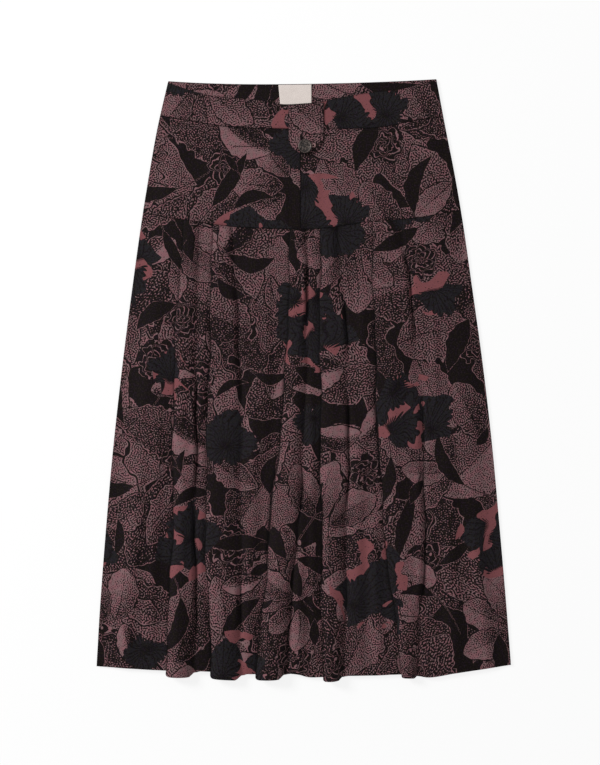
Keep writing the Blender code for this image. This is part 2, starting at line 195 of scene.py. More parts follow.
# Soft ridges and troughs: both ends, the width at half the height, and the height (a trough's is
# negative, and only lowers what other creases have raised)
Crease = namedtuple("Crease", "x_top y_top x_low y_low width height")
FRONT_CREASES = table(
    Crease,
    (-190, 150, -222, -250, 15, 1.3), (-206, -60, -232, -372, 11, 2.4), (-184, 20, -203, -372, 9, 1.9),
    (-133, -134, -132, -190, 3.5, -0.9), (-127, 120, -133, -60, 6, 1.2), (-66, 190, -62, 20, 12, 0.9),
    (-60, 60, -74, -378, 9, 2.1), (-46, 170, -52, -120, 7, 1.3), (-3, -130, -8, -380, 9, 2.5),
    (9, 40, 12, -330, 6, 1.5), (72, 160, 84, -60, 8, 1.2), (70, -20, 69, -380, 10, 2.3),
    (88, -150, 98, -380, 8, 2.1), (112, 90, 120, -200, 9, 1), (168, 100, 172, -40, 6, 1.2),
    (180, 70, 180, -10, 4, -0.9), (176, -190, 181, -275, 4, -1.1), (184, -60, 196, -376, 12, 2.6),
    (208, 120, 226, -300, 14, 1.4), (222, -180, 240, -370, 9, 1.9),
)
BACK_CREASES = table(
    Crease,
    (-196, 130, -226, -360, 13, 0.8), (-112, 90, -132, -370, 11, 0.9), (-40, 150, -52, -376, 12, 0.8),
    (30, 60, 34, -378, 10, 0.9), (96, 120, 112, -376, 11, 0.8), (188, 60, 214, -366, 13, 0.9),
)
YOKE_CREASES = table(
    Crease,
    (-160, 325, -176, 236, 12, 0.7), (-120, 320, -112, 262, 9, 0.5), (-84, 250, -90, 203, 5, 0.7),
    (-46, 322, -40, 214, 8, 0.6), (-26, 262, -24, 200, 4, 0.6), (16, 288, 14, 202, 5, 0.7),
    (48, 318, 56, 240, 9, 0.5), (104, 318, 98, 226, 8, 0.6), (132, 262, 138, 215, 5, 0.6),
    (164, 330, 176, 236, 11, 0.7),
)
BAND_CREASES = table(
    Crease,
    (-140, 372, -128, 336, 9, 0.25), (-74, 366, -82, 332, 7, 0.2),
    (66, 370, 60, 332, 8, 0.2), (124, 376, 134, 338, 9, 0.25),
)


# ---- Curves and small formulas ----

def smoothstep(share):
    """0 below 0, 1 above 1, and a smooth rise between."""
    share = np.clip(share, 0.0, 1.0)
    return share * share * (3.0 - 2.0 * share)


def blend(start, end, share):
    """A value part of the way from start to end."""
    return start + (end - start) * share


def bell(distance, width):
    """1 at no distance, and a smooth fall to 0 over about twice the width."""
    return np.exp(-(distance / width) ** 2)


def line_through(pairs):
    """A smooth curve y(x) through the given pairs, straight past its ends."""
    xs, ys = np.array(sorted(pairs), float).T
    runs = np.diff(ys) / np.diff(xs)
    slopes = np.concatenate([runs[:1], (runs[:-1] + runs[1:]) / 2, runs[-1:]])

    def curve(x):
        x = np.asarray(x, float)
        inside = np.clip(x, xs[0], xs[-1])
        i = np.clip(np.searchsorted(xs, inside, side="right") - 1, 0, len(runs) - 1)
        span = xs[i + 1] - xs[i]
        t = (inside - xs[i]) / span
        start = (2 * t ** 3 - 3 * t ** 2 + 1) * ys[i] + (t ** 3 - 2 * t ** 2 + t) * span * slopes[i]
        end = (3 * t ** 2 - 2 * t ** 3) * ys[i + 1] + (t ** 3 - t ** 2) * span * slopes[i + 1]
        past = np.where(x < inside, slopes[0], slopes[-1]) * (x - inside)
        return start + end + past

    return curve


left_side = line_through([(edge.y, edge.left) for edge in SIDES])
right_side = line_through([(edge.y, edge.right) for edge in SIDES])
back_top = line_through(BACK_TOP)
front_top_left = line_through(FRONT_TOP_LEFT)
front_top_right = line_through(FRONT_TOP_RIGHT)
tab_top = line_through(TAB_TOP)
waist_seam = line_through(WAIST_SEAM)
yoke_seam = line_through(YOKE_SEAM)
hem_line = line_through(HEM)


def lowered(line, distance):
    """The same line, moved down."""
    return lambda x: line(x) - distance


def upright(x):
    """A side line at one x."""
    return lambda y: np.full_like(np.asarray(y, float), x)


def back_waist_seam(x):
    """The back waistband is a straight band, so its seam follows its top edge."""
    return back_top(x) - BAND_HEIGHT


def at_share(values, share):
    """A value at a share of the length, on a smooth curve through its values at four even places."""
    return line_through(zip((0.0, 1 / 3, 2 / 3, 1.0), values))(share)


def crease_relief(creases, x, y):
    """Height that the creases add. Each is a soft bell across and fades out at both ends."""
    height = np.zeros_like(x)
    for crease in creases:
        share = (crease.y_top - y) / (crease.y_top - crease.y_low)
        middle = blend(crease.x_top, crease.x_low, share)
        across = bell(x - middle, crease.width)
        to_end = (1.0 - share) / CREASE_LOW_FADE + HEM_REST * (crease.y_low < NEAR_HEM)
        fade = smoothstep(share / CREASE_TOP_FADE) * smoothstep(to_end)
        height += CREASE_LIFT * crease.height * across * fade
    return np.maximum(height, TROUGH_LEAST)


PUCKER = 0.09           # height of the puckers along a seam
PUCKER_START = 1.2      # distance from the seam over which they rise, and over which they die away
PUCKER_REACH = 9.0
PUCKER_WAVES = ((1.0, 5.1, 0.0), (0.7, 3.3, 1.7), (0.6, 8.7, 0.4))     # share, length / 2 pi and start


def seam_pucker(distance, along):
    """Small uneven waves of the cloth that die away from a seam."""
    waves = sum(share * np.sin(along / length + start) for share, length, start in PUCKER_WAVES)
    fade = np.exp(-distance / PUCKER_REACH) * (1.0 - np.exp(-distance / PUCKER_START))
    return PUCKER * (waves + 1.0) * fade


def front_floor(x, y):
    """Underside of the front's single layer, lifted clear of the back's pleats."""
    from_side = np.minimum(x - left_side(y), right_side(y) - x) / SIDE_RAMP
    down_yoke = (waist_seam(x) - y) / (waist_seam(x) - yoke_seam(x))
    return FRONT_LIFT + STACK * smoothstep(from_side) * smoothstep(down_yoke)


def on_front(x, y):
    """Underside of what lies on the front."""
    return front_floor(x, y) + WALL + SEAM_GAP


# ---- Cloth as grids ----

# points: the middle of the wall, (rows, columns, 3). flat: the same points on the flat cloth, (rows,
# columns, 2). rim: distance from the nearest edge. deep: 0 to 1, painted shade in folds, gaps and
# along edges. thick: thickness.
Cloth = namedtuple("Cloth", "points flat rim deep thick")


def rim_shares(length, step):
    """Shares from 0 to 1, in even steps of about step, with close ones that round off both ends."""
    steps = ceil(length / step)
    inner = np.linspace(0.0, length, steps + 1)[1:-1]
    places = np.concatenate([RIM, inner, length - np.array(RIM[::-1])])
    return np.unique(places) / length


EDGE_SHADE = 0.65       # painted shade right at an edge
EDGE_SHADE_WIDTH = 0.9


def edge_shade(distance):
    """Painted shade on the cloth near a sewn or turned edge, from 0 to 1."""
    return EDGE_SHADE * bell(distance, EDGE_SHADE_WIDTH)


CORNER_ROUNDS = 6


def corner(line, side):
    """Where a line y(x) meets a side x(y), found by going from one to the other and back."""
    x = 0.0
    for _ in range(CORNER_ROUNDS):
        x = float(side(line(x)))
    return Point(x, float(line(x)))


def flat_cloth(top, bottom, left, right, underside, thickness, step=CELL, across=None):
    """Cloth between four lines, top(x), bottom(x), left(y) and right(y), on its underside(x, y)."""
    top_left = corner(top, left)
    top_right = corner(top, right)
    low_left = corner(bottom, left)
    low_right = corner(bottom, right)
    width = max(top_right.x - top_left.x, low_right.x - low_left.x)
    length = max(top_left.y - low_left.y, top_right.y - low_right.y, float(top(0.0) - bottom(0.0)))
    if across is None:
        across = rim_shares(width, step)
    across = across[None, :]
    down = rim_shares(length, step)[:, None]
    left_x = left(blend(top_left.y, low_left.y, down))
    right_x = right(blend(top_right.y, low_right.y, down))
    top_y = top(blend(top_left.x, top_right.x, across))
    bottom_y = bottom(blend(low_left.x, low_right.x, across))
    x = blend(left_x, right_x, across)
    y = blend(top_y, bottom_y, down)
    rim = np.minimum.reduce([x - left_x, right_x - x, top_y - y, y - bottom_y])
    points = np.stack([x, y, underside(x, y) + thickness / 2], axis=-1)
    # Painted shade along all its edges
    return Cloth(points, np.stack([x, y], axis=-1), rim, edge_shade(rim), np.full_like(x, thickness))


# One column of a pleated panel, as arrays over its rows: x, how far the wall rises above the single
# layer, how much lower the hem hangs, and the painted shade that darkens it
Column = namedtuple("Column", "x rise drop deep")


def turn(x, rise_from, rise_to, side, drop_from, drop_to):
    """Half a circle of cloth from one layer to the next, bulging to side (+1 or -1)."""
    middle = (rise_from + rise_to) / 2
    half = (rise_to - rise_from) / 2
    columns = []
    for step in range(TURN_STEPS + 1):
        angle = -pi / 2 + pi * step / TURN_STEPS
        reach = abs(half) * (cos(angle) - 1)
        rise = np.full_like(x, middle + half * sin(angle))
        drop = blend(drop_from, drop_to, step / TURN_STEPS)
        # The turn's cloth is fully darkened with painted shade
        columns.append(Column(x + side * reach, rise, drop, np.ones_like(x)))
    return columns


def along_fold(stretches, least, number, y):
    """How strong something along one edge of a front fold is, from 0 to 1."""
    strength = np.full_like(y, least)
    for stretch in stretches:
        if stretch.fold == number:
            below_top = smoothstep((stretch.y_top - y) / STRETCH_FADE)
            above_end = smoothstep((y - stretch.y_low) / STRETCH_FADE)
            strength = np.maximum(strength, stretch.strength * below_top * above_end)
    return strength


def panel_y(down):
    """Height at a share of a skirt panel's length, near enough to place what lies along it."""
    return blend(PANEL_TOP, PANEL_LOW, down)


def wander(number, down):
    """How far one edge of a fold strays sideways, none at the yoke seam."""
    waves = np.sin(21.0 * down + 2.1 * number) + 0.6 * np.sin(47.0 * down + 1.3 * number)
    return WANDER * waves * smoothstep(down / WANDER_START)


# Extra columns beside a fold's two edges, as shares of its width
FOLD_LEFT_SHARES = (0.02, 0.05)
FOLD_RIGHT_SHARES = (0.93, 0.955, 0.97, 0.985, 1.0)
ROLL_SHALLOW = 0.5      # where a fold's top layer starts to roll down, beside no valley
ROLL_DEEP = 0.91        # and beside the deepest one
LIP = 1.5               # height of the lip beside the deepest valley
LIP_PLACE = 0.87        # where it is across the fold
LIP_WIDTH = 0.09
RIPPLE = 0.16           # how uneven a crown is, as a share of its height
FOLD_EDGE = 0.1         # share of a fold's width over which its crown and its hem change at an edge
TURN_SHADE = 0.4        # painted shade at the crisp left edge, and how far it reaches
TURN_SHADE_WIDTH = 1.2
VALLEY_SHADE_WIDTH = 1.3    # how far the painted shade of the right edge reaches onto the fold


def front_fold_columns(number, down):
    """Columns of one front pleat: the hidden layers, then the top layer to its right edge."""
    fold = FRONT_FOLDS[number]
    left = at_share(fold.left, down) + wander(number, down)
    right = at_share(fold.right, down) + wander(number + 7.4, down)
    tuck = blend(fold.tuck_seam, fold.tuck_hem, down)
    crown = blend(fold.crown_seam, fold.crown_hem, down ** 1.5)
    depth = along_fold(VALLEYS, VALLEY_LEAST, number, panel_y(down))
    begins = blend(ROLL_SHALLOW, ROLL_DEEP, depth)
    columns = turn(left + tuck, 0.0, PITCH, 1, 0.0, fold.drop * HEM_LEFT / 2)
    columns += turn(left, PITCH, STACK, -1, fold.drop * HEM_LEFT / 2, fold.drop * HEM_LEFT)
    steps = ceil(max(right - left) / CELL)
    shares = np.concatenate([FOLD_LEFT_SHARES, np.arange(1, steps) / steps, FOLD_RIGHT_SHARES])
    for across in np.unique(shares):
        rolled = smoothstep((across - begins) / (1.0 - begins))
        swell = sin(pi * across ** 0.8) + RIPPLE * sin(5.3 * across + 2.0 * number)
        lip = depth * LIP * bell(across - LIP_PLACE, LIP_WIDTH)
        rise = STACK * (1 - rolled) + (crown * swell + lip) * np.minimum((1.0 - across) / FOLD_EDGE, 1.0)
        # Painted shade along the crisp left edge and in the valley beside the right edge
        near_left = bell((right - left) * across, TURN_SHADE_WIDTH)
        near_right = bell((right - left) * (1.0 - across), VALLEY_SHADE_WIDTH)
        deep = np.maximum(TURN_SHADE * near_left, depth * near_right)
        hang = blend(HEM_LEFT, 1.0, smoothstep(across / FOLD_EDGE))
        climb = (1.0 - HEM_RIGHT) * smoothstep((across - HEM_FALL) / (1.0 - HEM_FALL))
        columns.append(Column(blend(left, right, across), rise, fold.drop * (hang - climb), deep))
    return columns


RAMP_SHARES = (0.0, 0.25, 0.5, 0.75, 0.92)  # columns of the back's ramp beside a pleat
RAMP_SHADE = 0.95       # painted shade at its end, and how far that reaches
RAMP_SHADE_WIDTH = 3.0


def back_fold_columns(number, down):
    """Columns of one back pleat, whose outer face lies on the ground and hides the rest."""
    fold = BACK_FOLDS[number]
    left = at_share(fold.left, down)
    tuck = blend(fold.tuck_seam, fold.tuck_hem, down)
    still = np.zeros_like(down)
    columns = []
    for across in RAMP_SHARES:
        run = BACK_RAMP * (1 - across)
        # Painted shade at the foot of the ramp
        deep = still + RAMP_SHADE * bell(run, RAMP_SHADE_WIDTH)
        columns.append(Column(left - run, STACK * smoothstep(across) + still, still, deep))
    columns += turn(left + tuck, STACK, PITCH, 1, 0.0, 0.0)
    columns += turn(left, PITCH, 0.0, -1, 0.0, 0.0)
    return columns


AFTER_FOLD = (0.7, 1.6, 2.8)        # places of a flat stretch's extra columns, from the fold before it,
BEFORE_FOLD = (0.0, 0.9, 1.9, 3.2)  # from the fold after it
UNDER_FOLD = (0.3, 0.7)             # and under that fold, as shares of the covered width
BANK = 2.3              # height of the bank beside the deepest valley
BANK_START = 4.0        # distance from the valley over which it rises, and over which it dies away
BANK_REACH = 17.0
BANK_END = 8.0          # it ends over this distance before the next fold
VALLEY_WIDTH = 1.4      # how far the painted shade of a valley reaches beside it
GAP_WIDTH = 1.0         # how far the painted shade of a gap reaches, and how much farther where it is darkest
GAP_WIDER = 1.8


def flat_columns(start, end, after_fold, trail, covered, gap_shade):
    """Columns of a flat stretch, closer together beside the folds at its ends.

    after_fold: depth of the valley at its start, or None at a side seam; it also sets the valley's painted
    shade. trail: how much lower its hem hangs there. covered: how far the stretch goes on under the fold at
    its end, or None. gap_shade: the painted shade just outside that fold.
    """
    width = max(end - start)
    steps = ceil(width / CELL)
    shares = list(np.arange(1, steps) / steps)
    shares += [place / width for place in (RIM if after_fold is None else AFTER_FOLD)]
    shares += [1 - place / width for place in (RIM if covered is None else BEFORE_FOLD)]
    columns = []
    for share in np.unique(shares):
        x = blend(start, end, share)
        rise = np.zeros_like(x)
        deep = np.zeros_like(x)
        drop = trail * (1.0 - smoothstep((x - start) / HEM_RUN))
        if after_fold is not None:
            from_fold = x - start
            bank = BANK * np.exp(-from_fold / BANK_REACH) * (1 - bell(from_fold, BANK_START))
            rise = after_fold * bank * smoothstep((end - x) / BANK_END)
            # Painted shade in the valley beside the fold before
            deep = after_fold * bell(from_fold, VALLEY_WIDTH)
        if covered is not None:
            # Painted shade in the gap just outside the fold after
            deep = np.maximum(deep, gap_shade * bell(end - x, GAP_WIDTH + GAP_WIDER * gap_shade))
        columns.append(Column(x, rise, drop, deep))
    if covered is not None:
        none = np.zeros_like(end)
        # Under the fold the cloth is fully darkened with painted shade
        columns += [Column(end + covered * share, none, none, none + 1.0) for share in UNDER_FOLD]
    return columns


def panel_columns(fold_columns, folds, valleys, down):
    """All the columns of a skirt panel, edge to edge, as arrays over its rows."""
    drawn = [fold_columns(number, down) for number in range(len(folds))]
    low_y = SIDES[-1].y
    left = left_side(blend(corner(yoke_seam, left_side).y, low_y, down))
    right = right_side(blend(corner(yoke_seam, right_side).y, low_y, down))
    starts = [left] + [fold[-1].x for fold in drawn]
    ends = [fold[0].x for fold in drawn] + [right]
    columns = []
    for index, (start, end) in enumerate(zip(starts, ends)):
        after = None
        trail = 0.0
        covered = None
        gap_shade = None
        if index > 0:
            after = np.zeros_like(down)
        if index > 0 and valleys:
            after = along_fold(VALLEYS, VALLEY_LEAST, index - 1, panel_y(down))
            trail = folds[index - 1].drop * HEM_RIGHT
        if index < len(folds) and valleys:
            covered = blend(folds[index].tuck_seam, folds[index].tuck_hem, down)
            gap_shade = along_fold(GAP_SHADES, GAP_LEAST, index, panel_y(down))
            end = end - covered
        columns += flat_columns(start, end, after, trail, covered, gap_shade)
        if index < len(folds):
            columns += drawn[index]
    return columns


def pleated_cloth(fold_columns, folds, valleys, floor, top, hem, creases, zero_x):
    """A pleated skirt panel. Places on the flat cloth are counted from the column at zero_x."""
    down = rim_shares(PANEL_TOP - PANEL_LOW, ROW)
    columns = panel_columns(fold_columns, folds, valleys, down)
    x, rise, drop, deep = (
        np.stack([np.broadcast_to(part, down.shape) for part in parts], axis=1) for parts in zip(*columns)
    )
    start_y = top(x[0])
    end_y = hem(x[-1]) - drop[-1]
    y = blend(start_y, end_y, down[:, None])
    thick = SKIRT_CLOTH + HEM_EXTRA * smoothstep((HEM_TURNING - (y - end_y)) / HEM_EXTRA_RUN)
    lift = crease_relief(creases, x, y) + seam_pucker(start_y - y, x)
    z = floor(x, y) + thick / 2 + rise + lift
    steps = np.hypot(np.diff(x, axis=1), np.diff(z, axis=1))
    flat_x = np.concatenate([np.zeros((len(down), 1)), np.cumsum(steps, axis=1)], axis=1)
    rim = np.minimum.reduce([flat_x, flat_x[:, -1:] - flat_x, start_y - y, y - end_y])
    middle = np.abs(x[0] - zero_x).argmin()
    flat_x = flat_x - flat_x[:, middle:middle + 1]
    points = np.stack([x, y, z], axis=-1)
    # Painted shade along the yoke seam, over that of the folds
    deep = np.clip(np.maximum(deep, edge_shade(start_y - y)), 0.0, 1.0)
    return Cloth(points, np.stack([flat_x, y], axis=-1), rim, deep, thick)


# ---- The print: where its motifs lie on the flat cloth ----

SEED = 33               # of the scatter that lays the print out
TILE = 660.0            # the motifs repeat after this distance, both ways
SCOUT = 5.0             # spacing of the points that tell whether a motif overlaps another
CLEAR = 5.5             # cloth kept free around a motif of the same layer

# One leaf or petal. x, y: its base. width: half of its widest part. bow: how far its middle line bends,
# as a share of its length. base, tip: how much of the ink covers the ground there. side: how much more
# on one side of the middle. grain: how fine the ink's squiggles are. stretch: how long they are drawn
# out along the leaf (1 is not at all, less is longer).
Leaf = namedtuple("Leaf", "x y angle length width bow base tip side grain stretch")

# One round motif. first and second are two numbers that its kind of drawing uses.
Disc = namedtuple("Disc", "x y angle radius first second")

# How the leaves of a layer look. shoulder: where the leaf is widest (1 is the middle, and less is nearer
# its base). taper: how pointed its ends are. tooth, tooth_depth: its edge's teeth. outline: width of the
# light line inside its edge. halo: width of the dark line around it. stem, stem_width: its stalk.
LEAF_LOOKS = table(
    namedtuple("LeafLook", "layer shoulder taper tooth tooth_depth outline halo stem stem_width"),
    ("broad_low", 0.80, 0.80, 13.0, 1.2, 0.8, 2.0, 0.0, 0.0),
    ("broad_high", 0.85, 0.75, 15.0, 1.0, 0.8, 2.0, 0.0, 0.0),
    ("petal_low", 1.15, 0.60, 40.0, 0.6, 0.5, 1.8, 0.0, 0.0),
    ("petal_high", 1.10, 0.62, 40.0, 0.6, 0.5, 1.8, 0.0, 0.0),
    ("lance", 0.85, 0.90, 30.0, 0.0, 0.15, 0.0, 40.0, 1.2),
    ("sprig", 0.80, 0.85, 30.0, 0.0, 0.1, 0.0, 22.0, 0.8),
)
BROAD_LOW, BROAD_HIGH, PETAL_LOW, PETAL_HIGH, LANCE, SPRIG = LEAF_LOOKS
NO_INK = -0.3           # a cover at which not even a speck is printed
CLUMP = "clump"
ROSETTE = "rosette"


def wrapped(offset):
    """An offset on the flat cloth, taken to the nearest repeat of the motifs."""
    return offset - TILE * np.round(offset / TILE)


def leaf_place(leaf, points):
    """Places along and across a leaf's middle line, in millimetres."""
    ahead = np.array([cos(leaf.angle), sin(leaf.angle)])
    aside = np.array([-ahead[1], ahead[0]])
    offset = wrapped(points - (np.array([leaf.x, leaf.y]) + ahead * leaf.length / 2))
    along = offset @ ahead + leaf.length / 2
    share = along / leaf.length
    across = offset @ aside - 4 * leaf.bow * leaf.length * share * (1 - share)
    return along, across


def leaf_reach(look, leaf, points):
    """How far inside the leaf's outline the points are, its teeth left out."""
    along, across = leaf_place(leaf, points)
    share = np.clip(along / leaf.length, 0, 1)
    half = leaf.width * np.sin(pi * share ** look.shoulder) ** look.taper
    reach = half - np.abs(across)
    beyond = np.maximum(along - leaf.length, -look.stem - along)
    return np.minimum(reach, -beyond)


def disc_place(disc, points):
    """Places on a round motif, from its middle, turned with it."""
    offset = wrapped(points - np.array([disc.x, disc.y]))
    turned = np.array([[cos(disc.angle), -sin(disc.angle)], [sin(disc.angle), cos(disc.angle)]])
    place = offset @ turned
    return place[..., 0], place[..., 1]


def disc_reach(disc, points):
    """How far inside the circle around a round motif the points are."""
    x, y = disc_place(disc, points)
    return disc.radius - np.hypot(x, y)


class Layout:
    """The print's motifs, layer by layer, none of which overlaps another one of its layer."""

    def __init__(self):
        spots = np.arange(0.0, TILE, SCOUT)
        self.scouts = np.stack(np.meshgrid(spots, spots), axis=-1).reshape(-1, 2)
        self.taken = {}
        self.motifs = {}

    def reach(self, layer, motif, points):
        """How far inside a motif the points are."""
        if isinstance(motif, Disc):
            return disc_reach(motif, points)
        look = next(look for look in LEAF_LOOKS if look.layer == layer)
        return leaf_reach(look, motif, points)

    def try_group(self, group, clear_of=None):
        """Adds a group of (layer, motif) if all its places are free, also of one more layer."""
        masks = []
        for layer, motif in group:
            near = self.reach(layer, motif, self.scouts) > -CLEAR
            for full in (layer, clear_of or layer):
                if (near & self.taken.setdefault(full, np.zeros(len(near), bool))).any():
                    return False
            masks.append((layer, motif, near))
        for layer, motif, near in masks:
            self.taken[layer] |= near
            self.motifs.setdefault(layer, []).append(motif)
        return True


def scatter(layout, rng, tries, make_group, clear_of=None):
    """Tries groups of motifs at random places."""
    for _ in range(tries):
        x, y = rng.uniform(0, TILE, 2)
        layout.try_group(make_group(rng, x, y, rng.uniform(-pi, pi)), clear_of)


def draws(rng, *limits):
    """One random number between each pair of limits, drawn in order."""
    return [rng.uniform(low, high) for low, high in limits]


def broad_group(layer, longest, shortest):
    """A maker of single broad leaves."""
    def make(rng, x, y, angle):
        length, width, base, bow, more, side, grain, stretch = draws(
            rng, (shortest, longest), (0.22, 0.34), (0.32, 0.52), (-0.1, 0.1), (-0.02, 0.2), (-0.1, 0.1),
            (0.9, 1.2), (0.55, 1.0),
        )
        leaf = Leaf(x, y, angle, length, length * width, bow, base, base + more, side, grain, stretch)
        return [(layer, leaf)]
    return make


FLOWER_FANS = (((-82, 0, 82), (-41, 41)), ((-44, 44), (0,)))    # full and half open: low and high petals
FULL_SHARE = 0.45       # share of the flowers that are full


def flower_group(rng, x, y, angle):
    """A flower seen from its side: petals that fan out from one place, in two layers."""
    group = []
    size = rng.uniform(52, 84)
    fans = FLOWER_FANS[0 if rng.random() < FULL_SHARE else 1]
    for layer, degrees in zip((PETAL_LOW.layer, PETAL_HIGH.layer), fans):
        for degree in degrees:
            sway, length, width, *looks = draws(
                rng, (-6, 6), (0.85, 1.1), (0.25, 0.32), (-0.1, 0.1), (0.28, 0.45), (0.6, 0.84), (-0.1, 0.1),
                (1.1, 1.5), (0.6, 1.0),
            )
            aim = angle + radians(degree + sway)
            length = size * length
            start = 0.22 * size
            leaf = Leaf(x + start * cos(aim), y + start * sin(aim), aim, length, length * width, *looks)
            group.append((layer, leaf))
    return group


def single_petal_group(layer):
    """A maker of single smooth leaves, often shaded on one half."""
    def make(rng, x, y, angle):
        length = rng.uniform(46, 92)
        side = rng.choice((-0.28, 0.28, 0.05))
        width, bow, base, tip, grain, stretch = draws(
            rng, (0.2, 0.3), (-0.14, 0.14), (0.32, 0.55), (0.5, 0.82), (1.0, 1.4), (0.55, 1.0),
        )
        return [(layer, Leaf(x, y, angle, length, length * width, bow, base, tip, side, grain, stretch))]
    return make


def dark_group(layer, longest, shortest, slim):
    """A maker of slim dark leaves on stalks."""
    def make(rng, x, y, angle):
        length, width, bow = draws(rng, (shortest, longest), (slim - 0.03, slim + 0.05), (-0.2, 0.2))
        return [(layer, Leaf(x, y, angle, length, length * width, bow, NO_INK, NO_INK, 0.0, 1.0, 1.0))]
    return make


def clump_group(widest, narrowest, red):
    """A maker of clumps of dark leaves. Disc.first: how much red shows. Disc.second: varies the leaves."""
    def make(rng, x, y, angle):
        return [(CLUMP, Disc(x, y, angle, rng.uniform(narrowest, widest), red, rng.uniform(100, 900)))]
    return make


def rosette_group(rng, x, y, angle):
    """One small round flower drawn in lines. Disc.first: its petals. Disc.second: its rings."""
    return [(ROSETTE, Disc(x, y, angle, rng.uniform(20, 33), rng.integers(4, 8), rng.uniform(4.6, 6.4)))]


def make_layout():
    """The whole print."""
    layout = Layout()
    rng = np.random.default_rng(SEED)
    scatter(layout, rng, 130, broad_group(BROAD_LOW.layer, 165, 110))
    scatter(layout, rng, 120, broad_group(BROAD_LOW.layer, 100, 60))
    scatter(layout, rng, 110, broad_group(BROAD_HIGH.layer, 150, 95))
    scatter(layout, rng, 70, broad_group(BROAD_HIGH.layer, 90, 55))
    scatter(layout, rng, 20, flower_group)
    scatter(layout, rng, 16, single_petal_group(PETAL_LOW.layer))
    scatter(layout, rng, 20, single_petal_group(PETAL_HIGH.layer))
    scatter(layout, rng, 20, clump_group(92, 70, 1.0))
    scatter(layout, rng, 30, clump_group(66, 52, 1.0))
    scatter(layout, rng, 50, clump_group(44, 28, 0.0))
    scatter(layout, rng, 30, rosette_group)
    scatter(layout, rng, 105, dark_group(LANCE.layer, 92, 44, 0.14))
    scatter(layout, rng, 80, dark_group(SPRIG.layer, 46, 22, 0.19), CLUMP)
    return layout


LAYOUT = make_layout()


# ---- Meshes of cloth ----

def grid_normals(points):
    """The wall's upward direction at each point of a grid."""
    down = np.gradient(points, axis=0)
    across = np.gradient(points, axis=1)
    normals = np.cross(down, across)
    return normals / np.maximum(np.linalg.norm(normals, axis=-1, keepdims=True), 1e-9)


def shell_faces(rows, columns):
    """Faces of a closed shell around a grid, with the side that each one is on.

    The upper points come first and the lower ones after them. Sides: 0 upper, 1 lower, 2 to 5 rims.
    """
    upper = np.arange(rows * columns).reshape(rows, columns)
    lower = upper + rows * columns
    high = np.stack([upper[:-1, :-1], upper[1:, :-1], upper[1:, 1:], upper[:-1, 1:]], axis=-1)
    low = np.stack([lower[:-1, :-1], lower[:-1, 1:], lower[1:, 1:], lower[1:, :-1]], axis=-1)
    rims = (
        (upper[0, :-1], upper[0, 1:], lower[0, 1:], lower[0, :-1]),
        (upper[-1, 1:], upper[-1, :-1], lower[-1, :-1], lower[-1, 1:]),
        (upper[:-1, 0], lower[:-1, 0], lower[1:, 0], upper[1:, 0]),
        (upper[1:, -1], lower[1:, -1], lower[:-1, -1], upper[:-1, -1]),
    )
    parts = [high.reshape(-1, 4), low.reshape(-1, 4)]
    parts += [np.stack(rim, axis=-1) for rim in rims]
    sides = np.concatenate([np.full(len(part), side) for side, part in enumerate(parts)])
    return np.concatenate(parts), sides


BAKE_MARGIN = 0.02      # clear edge around each half of the baked texture
BAKE_RIM = 0.008        # width of a rim on it


def bake_places(cloth, faces, sides):
    """Places of the faces' corners on the texture that an export bakes: upper side left, lower right."""
    flat = cloth.flat.reshape(-1, 2)
    low, high = flat.min(axis=0), flat.max(axis=0)
    share = (flat - low) / (high - low)
    both = np.concatenate([share, share])
    spots = both[faces] * (0.5 - 2 * BAKE_MARGIN, 1.0 - 2 * BAKE_MARGIN) + BAKE_MARGIN
    spots[sides == 1] += (0.5, 0.0)
    is_lower = faces >= len(flat)
    for side, outward in ((2, (0.0, 1.0)), (3, (0.0, -1.0)), (4, (-1.0, 0.0)), (5, (1.0, 0.0))):
        spots[(sides == side)[:, None] & is_lower] += np.array(outward) * BAKE_RIM
    return spots


def add_corner_vectors(mesh, name, values):
    """A vector for each corner of each face."""
    corners = mesh.attributes.new(name, "FLOAT_VECTOR", "CORNER")
    corners.data.foreach_set("vector", np.ascontiguousarray(values, np.float32).ravel())


def add_print(mesh, flat_corners):
    """Attributes that tell the printed material where each motif lies.

    Every face belongs to at most one motif of each layer, and its corners hold their places on it.
    """
    centres = flat_corners.mean(axis=1)
    for layer, motifs in LAYOUT.motifs.items():
        place = np.zeros((*flat_corners.shape[:2], 3), np.float32)
        shape = np.ones_like(place)
        cover = np.zeros_like(place)
        for motif in motifs:
            near = LAYOUT.reach(layer, motif, centres) > -CLEAR
            if not near.any():
                continue
            if isinstance(motif, Disc):
                place[near, :, 0], place[near, :, 1] = disc_place(motif, flat_corners[near])
                place[near, :, 2] = 1.0
                shape[near] = (motif.radius, motif.first, motif.second)
            else:
                place[near, :, 0], place[near, :, 1] = leaf_place(motif, flat_corners[near])
                place[near, :, 2] = motif.stretch
                shape[near] = (motif.length, motif.width, motif.grain)
                cover[near] = (motif.base, motif.tip, motif.side)
        add_corner_vectors(mesh, layer + "_place", place)
        add_corner_vectors(mesh, layer + "_shape", shape)
        if not isinstance(motifs[0], Disc):
            add_corner_vectors(mesh, layer + "_cover", cover)


def put(name, data):
    """A new object in the scene."""
    thing = bpy.data.objects.new(name, data)
    bpy.context.scene.collection.objects.link(thing)
    return thing


def smooth_mesh(name, points, faces):
    """A mesh with smooth shading, from points in millimetres."""
    mesh = bpy.data.meshes.new(name)
    mesh.from_pydata((np.array(points) * MM).tolist(), [], faces)
    mesh.shade_smooth()
    return mesh


def link(name, mesh, material):
    """A piece of the model with its material, on the one body."""
    mesh.materials.append(material)
    piece = put(name, mesh)
    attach(piece, "root")
    return piece


RIM_LEAST = 0.25        # thickness at a piece's very edge, as a share of the cloth's


